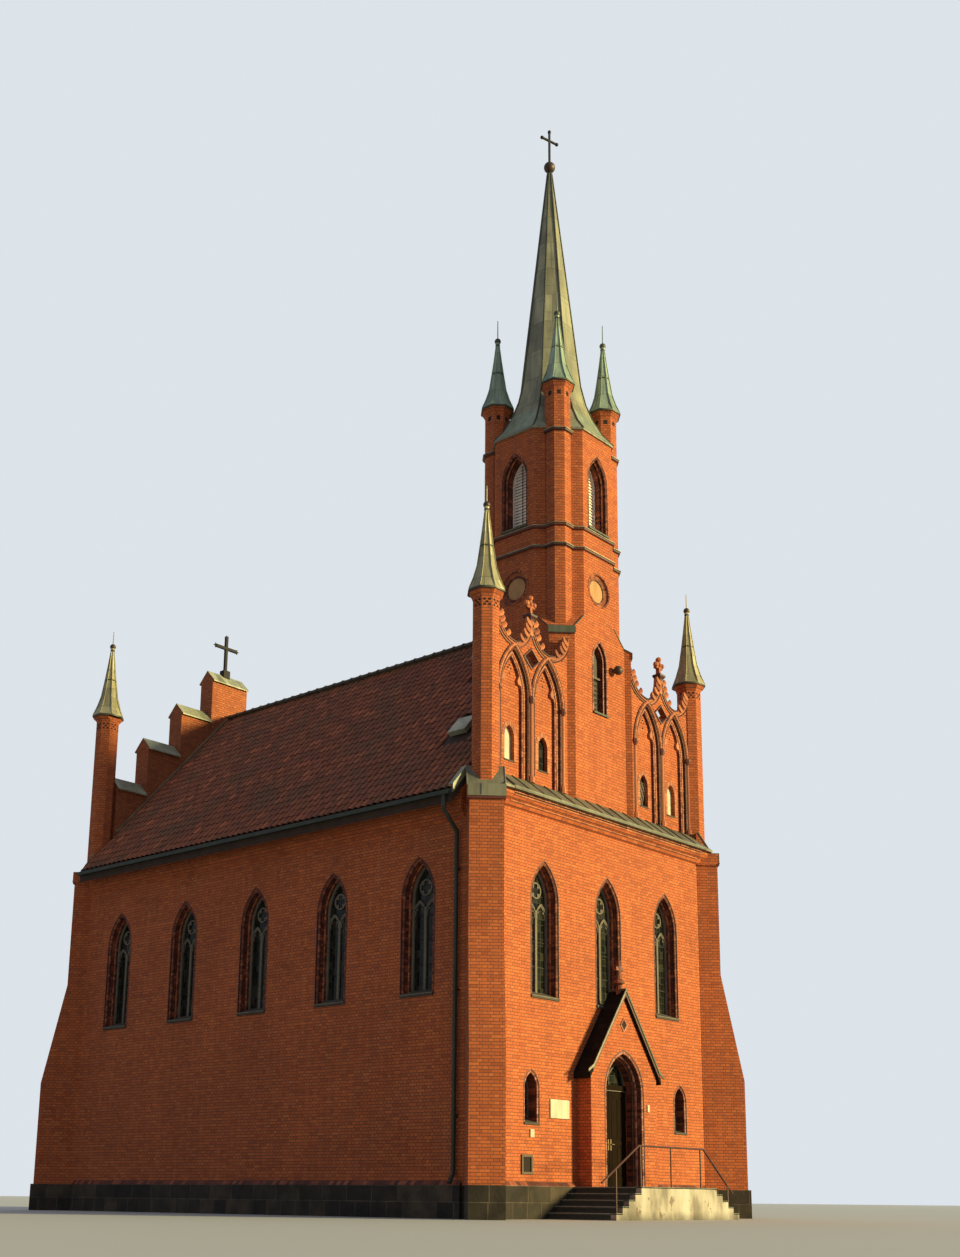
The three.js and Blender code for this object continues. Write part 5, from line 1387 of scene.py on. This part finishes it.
# Porch and doors
PORCH_ARCH = Arch(0.79, PLINTH_TOP, 2.95, 3.95)
PORCH_ORDERS = [(flat(0.0, 0.03, -0.008, 0.02), 2), (roll(-0.03, 0.03, 0.035), 0),
                (flat(-0.055, 0.003, 0.07, 0.17), 1)]
PORCH_INNER = Arch(0.70, PLINTH_TOP, 2.95, 3.85)
PORCH_INNER_ORDERS = [(roll(0.0, 0.165, 0.03), 0), (flat(-0.03, 0.003, 0.21, 0.42), 1),
                      (roll(-0.045, 0.24, 0.026), 2)]
DIAMOND = [(-0.13, 4.58), (0, 4.42), (0.13, 4.58), (0, 4.74)]

# The porch roof's edge, and the board under it: (y, up)
PORCH_VERGE = [(-0.53, 0.035), (-0.505, 0.035), (-0.505, -0.03), (-0.53, -0.03)]
PORCH_BOARD = [(-0.51, -0.03), (-0.40, -0.03), (-0.40, -0.13), (-0.51, -0.13)]

# The boards of a door leaf: (from the middle, to, lowest z, highest z)
LEAF_FRAME = [(0.006, 0.085, 0.73, 2.998), (0.565, 0.646, 0.73, 2.998), (0.08, 0.57, 0.73, 0.98),
              (0.08, 0.57, 1.72, 1.84), (0.08, 0.57, 2.88, 2.998)]
LEAF_PANELS = [(0.115, 0.30, 1.03, 1.67), (0.345, 0.535, 1.03, 1.67), (0.115, 0.30, 1.89, 2.83),
               (0.345, 0.535, 1.89, 2.83)]
LEAF_FACE = 0.061
KNOB = (0.052, 1.74)
TRANSOM_FOOT = (0, 3.12)
TRANSOM_FORK = (0, 3.42)


def make_porch():
    """The porch arch's orders and diamond, and the copper edges of the porch roof."""
    brick, roof = Shape(), Shape()
    place = placed(0, PORCH_FRONT)
    PORCH_ARCH.orders(brick, PORCH_ORDERS, place)
    PORCH_INNER.orders(brick, PORCH_INNER_ORDERS, place)
    # The diamond's face is painted dark for the shade inside it
    brick.prism(DIAMOND, -0.004, 0.02, 4, place)
    brick.rim([(u, -0.008, z) for u, z in DIAMOND], 0.02, 0, place)
    brick.make("porch_orders", [*WINDOW_BRICK, PAINTED_SHADE], "brick")
    eave, eave_z = PORCH_EAVE
    fall = (PORCH_RIDGE - eave_z) / eave
    for sign, number in ((-1, 0), (1, 1)):
        path = [(0.0, PORCH_RIDGE), (sign * (eave - 0.10), eave_z + 0.10 * fall),
                (sign * (eave + 0.10), eave_z + 0.02)]
        roof.loft([[(x, y, z + up) for y, up in PORCH_VERGE] for x, z in path], number)
        roof.loft([[(x, y, z + up) for y, up in PORCH_BOARD] for x, z in path[:2]], 2)
    roof.tube([(0, -0.52, PORCH_RIDGE + 0.015), (0, -0.02, PORCH_RIDGE + 0.015)], 0.035, 8, 1)
    roof.make("porch_verge", [CAP_COPPER, DARK_COPPER, GLAZED_AND_SHADE], "copper")


def make_doors():
    """Frames, panels and handles on the two leaves, and the bars of the light over them."""
    for name, sign in (("left", -1), ("right", 1)):
        leaf = Shape()
        for boards, back in ((LEAF_FRAME, 0.046), (LEAF_PANELS, 0.052)):
            for a, b, low, high in boards:
                x0, x1 = span(sign, a, b)
                leaf.box((x0, back, low), (x1, LEAF_FACE, high))
        x0, x1 = span(sign, 0.03, 0.075)
        leaf.box((x0, 0.038, 1.60), (x1, 0.047, 1.86), 1)
        x, z = sign * KNOB[0], KNOB[1]
        leaf.tube([(x, 0.045, z), (x, 0.0, z), (x + sign * 0.09, -0.005, z)], 0.011, 8, 1)
        leaf.make(f"door_panels_{name}", [TIMBER, BRONZE], "timber", body=f"door_{name}")
    trim = Shape()
    trim.box((-0.655, 0.035, 3.005), (0.655, 0.058, 3.05), 1)
    trim.box((-0.69, -0.012, 3.045), (0.69, 0.058, 3.16), 1)
    trim.box((-0.655, 0.020, 3.015), (0.655, 0.05, 3.035), 0)
    Arch(0.64, 3.15, 3.16, 3.85).band(trim, flat(-0.045, 0.0, 0.03, 0.075))
    for a, b in ((TRANSOM_FOOT, TRANSOM_FORK), (TRANSOM_FORK, (-0.27, 3.68)), (TRANSOM_FORK, (0.27, 3.68))):
        trim.tube([(u, 0.055, z) for u, z in (a, b)], 0.022, 6)
    trim.make("transom_bars", [TRACERY, TIMBER], "louvre")


# Steps and fittings on the front
# The plaque, the card, the recess's frame and the recess: (left, right, low, high, how far out, number)
FITTINGS = [(-2.39, -1.68, 2.26, 2.69, 0.03, 1), (-3.13, -2.99, 1.80, 1.98, 0.03, 1),
            (-3.44, -3.05, 0.98, 1.03, 0.035, 0), (-3.44, -3.05, 1.36, 1.41, 0.035, 0),
            (-3.44, -3.39, 1.03, 1.36, 0.035, 0), (-3.10, -3.05, 1.03, 1.36, 0.035, 0),
            # The recess is a dark panel, painted shade
            (-3.39, -3.10, 1.03, 1.36, 0.008, 2)]
LAMP_X = 0.6


def make_steps():
    """Slabs on the landing and the treads, and on the wall in front of them, pale on top: partly wear,
    partly painted highlight.
    """
    treads, capping = Shape(), Shape()
    behind_cheek = STAIR_FRONT + STAIR_CHEEK

    def tread(ends, top):
        treads.box((ends[0], behind_cheek, top - 0.045), (ends[1], -0.08, top + 0.006))

    def cap(ends, top):
        capping.box((ends[0], STAIR_FRONT, top - 0.02), (ends[1], behind_cheek, top + 0.012))

    tread((-LANDING_HALF - 0.02, LANDING_HALF + 0.02), PLINTH_TOP)
    cap((-LANDING_HALF, LANDING_HALF), PLINTH_TOP)
    for sign in (-1, 1):
        for i in range(1, 5):
            a = LANDING_HALF + (i - 1) * GOING
            tread(span(sign, a, a + GOING + 0.02), PLINTH_TOP - i * RISER)
            cap(span(sign, a, a + GOING), PLINTH_TOP - i * RISER)
    treads.make("step_treads", [STEP_STONE], "granite")
    capping.make("cheek_capping", [STEP_STONE], "granite")


def make_fittings():
    """A globe lamp, a bare plaque and card, a framed recess by the steps, painted dark inside as shade, and
    a bell by the doorway.
    """
    shape = Shape()
    shape.ball((LAMP_X, 0.0), 0.125, 13.97)
    shape.tube([(LAMP_X, 0.17, 14.02), (LAMP_X, 0.09, 14.02)], 0.02)
    for left, right, low, high, out, number in FITTINGS:
        shape.box((left, -out, low), (right, 0.01, high), number)
    shape.box((0.935, PORCH_FRONT - 0.03, 2.54), (1.015, PORCH_FRONT + 0.01, 2.71), 1)
    shape.make("front_fittings", [BROWN_METAL, CREAM, PAINTED_SHADE], "iron", smooth=40)


def make_cross_ends():
    """Flared ends of the rear gable's cross, and small lobes on the spire's cross."""
    shape = Shape()
    y = LENGTH - GABLE_THICK / 2
    for x, z, turn in ((-0.40, 18.13, 180), (0.40, 18.13, 0), (0, 18.46, 90)):
        for lean, length in ((-48, 0.11), (0, 0.14), (48, 0.11)):
            angle = math.radians(turn + lean)
            stops = (-0.02, length / 2, length)
            points = [(x + reach * math.cos(angle), y, z + reach * math.sin(angle)) for reach in stops]
            shape.tube(points, [0.022, 0.032, 0.008], 6)
    for reach, z in ((-0.27, 30.59), (0.27, 30.59), (0, 30.885)):
        x, back = reach * math.cos(SPIRE_CROSS_TURN), reach * math.sin(SPIRE_CROSS_TURN)
        shape.ball((x, TOWER_Y + back), 0.052, z, 0, 10)
    shape.make("cross_ends", [BLACK_IRON], "copper")


# Camera, light and studio
CAMERA_PLACE = Vector((-30.019, -21.549, 0.442))
CAMERA_YAW = math.radians(48.6049)
CAMERA_PITCH = math.radians(13.3824)
CAMERA_ROLL = math.radians(0.5813)
CAMERA_LENS = 42.893
CAMERA_SHIFT = (0.0151, 0.1698)
SUN_STRENGTH = 7.1
SUN_COLOUR = (1.0, 0.85, 0.37)
SUN_SIZE = math.radians(8)
SUN_AZIMUTH = math.radians(27)
SUN_HEIGHT = math.radians(12)
SKY_COLOUR = (0.80, 0.87, 1.0, 1)
SKY_STRENGTH = 0.38
FLOOR_SIZE = 400.0
FLOOR_COLOUR = (0.42, 0.42, 0.41)
BACKDROP_DISTANCE = 260.0
BACKDROP_COLOUR = (0.72, 0.77, 0.82)
RING_RADIUS = 600.0
RING_SIDES = 64
RING_HEIGHTS = (-120.0, 500.0)


def direction(azimuth, height):
    """The way to something at a turn from +Y towards +X, and at a height over the level."""
    level = math.cos(height)
    return Vector((math.sin(azimuth) * level, math.cos(azimuth) * level, math.sin(height)))


def make_camera():
    """The camera that the photograph was solved for."""
    forward = direction(CAMERA_YAW, CAMERA_PITCH)
    level = direction(CAMERA_YAW + math.pi / 2, 0.0)
    upright = level.cross(forward)
    right = level * math.cos(CAMERA_ROLL) + upright * math.sin(CAMERA_ROLL)
    up = upright * math.cos(CAMERA_ROLL) - level * math.sin(CAMERA_ROLL)
    data = bpy.data.cameras.new("camera")
    data.sensor_fit = "AUTO"
    data.sensor_width = 36.0
    data.lens = CAMERA_LENS
    data.shift_x, data.shift_y = CAMERA_SHIFT
    data.clip_end = 1000
    camera = in_scene("camera", data)
    turn = Matrix((right, up, -forward)).transposed().to_4x4()
    camera.matrix_world = Matrix.Translation(CAMERA_PLACE) @ turn
    bpy.context.scene.camera = camera


def make_light():
    """A low sun from the front, and a plain sky."""
    sun = bpy.data.lights.new("sun", "SUN")
    sun.energy = SUN_STRENGTH
    sun.color = SUN_COLOUR
    sun.angle = SUN_SIZE
    lamp = in_scene("sun", sun)
    towards = direction(math.pi - SUN_AZIMUTH, SUN_HEIGHT)
    lamp.rotation_euler = towards.to_track_quat("Z", "Y").to_euler()
    world = bpy.data.worlds.new("studio")
    world.use_nodes = True
    sky = world.node_tree.nodes["Background"]
    sky.inputs["Color"].default_value = SKY_COLOUR
    sky.inputs["Strength"].default_value = SKY_STRENGTH
    bpy.context.scene.world = world
    bpy.context.scene.view_settings.view_transform = "Standard"


def stage_mesh(name, corners, faces, colour, glow=0.0):
    """One piece of the studio, lit by the lamps or glowing by itself."""
    mesh = bpy.data.meshes.new(name)
    mesh.from_pydata(corners, [], faces)
    s = Surface(name, 0.9, specular=0.0 if glow else 0.5)
    s.colour((0, 0, 0) if glow else colour)
    s.put(s.shader.inputs["Emission Color"], colour)
    s.put(s.shader.inputs["Emission Strength"], glow)
    mesh.materials.append(s.material)
    piece = in_scene(name, mesh)
    return piece


def make_stage():
    """A pale floor, a pale backdrop far behind the church, and a ring in its colour for the other views."""
    size = FLOOR_SIZE
    floor = [(-size, -size, 0), (size, -size, 0), (size, size, 0), (-size, size, 0)]
    stage_mesh("floor", floor, [(0, 1, 2, 3)], FLOOR_COLOUR)
    away = direction(CAMERA_YAW, 0.0) * BACKDROP_DISTANCE
    across = direction(CAMERA_YAW + math.pi / 2, 0.0) * size
    up = Vector((0, 0, size))
    corners = [away - across, away + across, away + across + up, away - across + up]
    stage_mesh("backdrop", corners, [(0, 1, 2, 3)], BACKDROP_COLOUR, 1.0)
    turns = [2 * math.pi * k / RING_SIDES for k in range(RING_SIDES)]
    points = [(RING_RADIUS * math.cos(t), RING_RADIUS * math.sin(t), z) for z in RING_HEIGHTS for t in turns]
    pairs = [(k, (k + 1) % RING_SIDES) for k in range(RING_SIDES)]
    faces = [(a, b, RING_SIDES + b, RING_SIDES + a) for a, b in pairs]
    ring = stage_mesh("backdrop_ring", points, faces, BACKDROP_COLOUR, 1.0)
    ring.visible_shadow = ring.visible_diffuse = ring.visible_glossy = ring.visible_transmission = False


make_camera()
make_light()
make_stage()
finish_nodes()
make_windows()
make_arcades()
make_strings()
make_belfry()
make_oculi()
make_base_window()
make_shoulders()
make_spires()
make_turret_heads()
make_corner_caps()
make_roof_tiles()
make_verge_ends()
make_ridge()
make_copings()
make_ledge()
make_cornice()
make_plinth_course()
make_eave_strings()
make_porch()
make_doors()
make_steps()
make_fittings()
make_cross_ends()
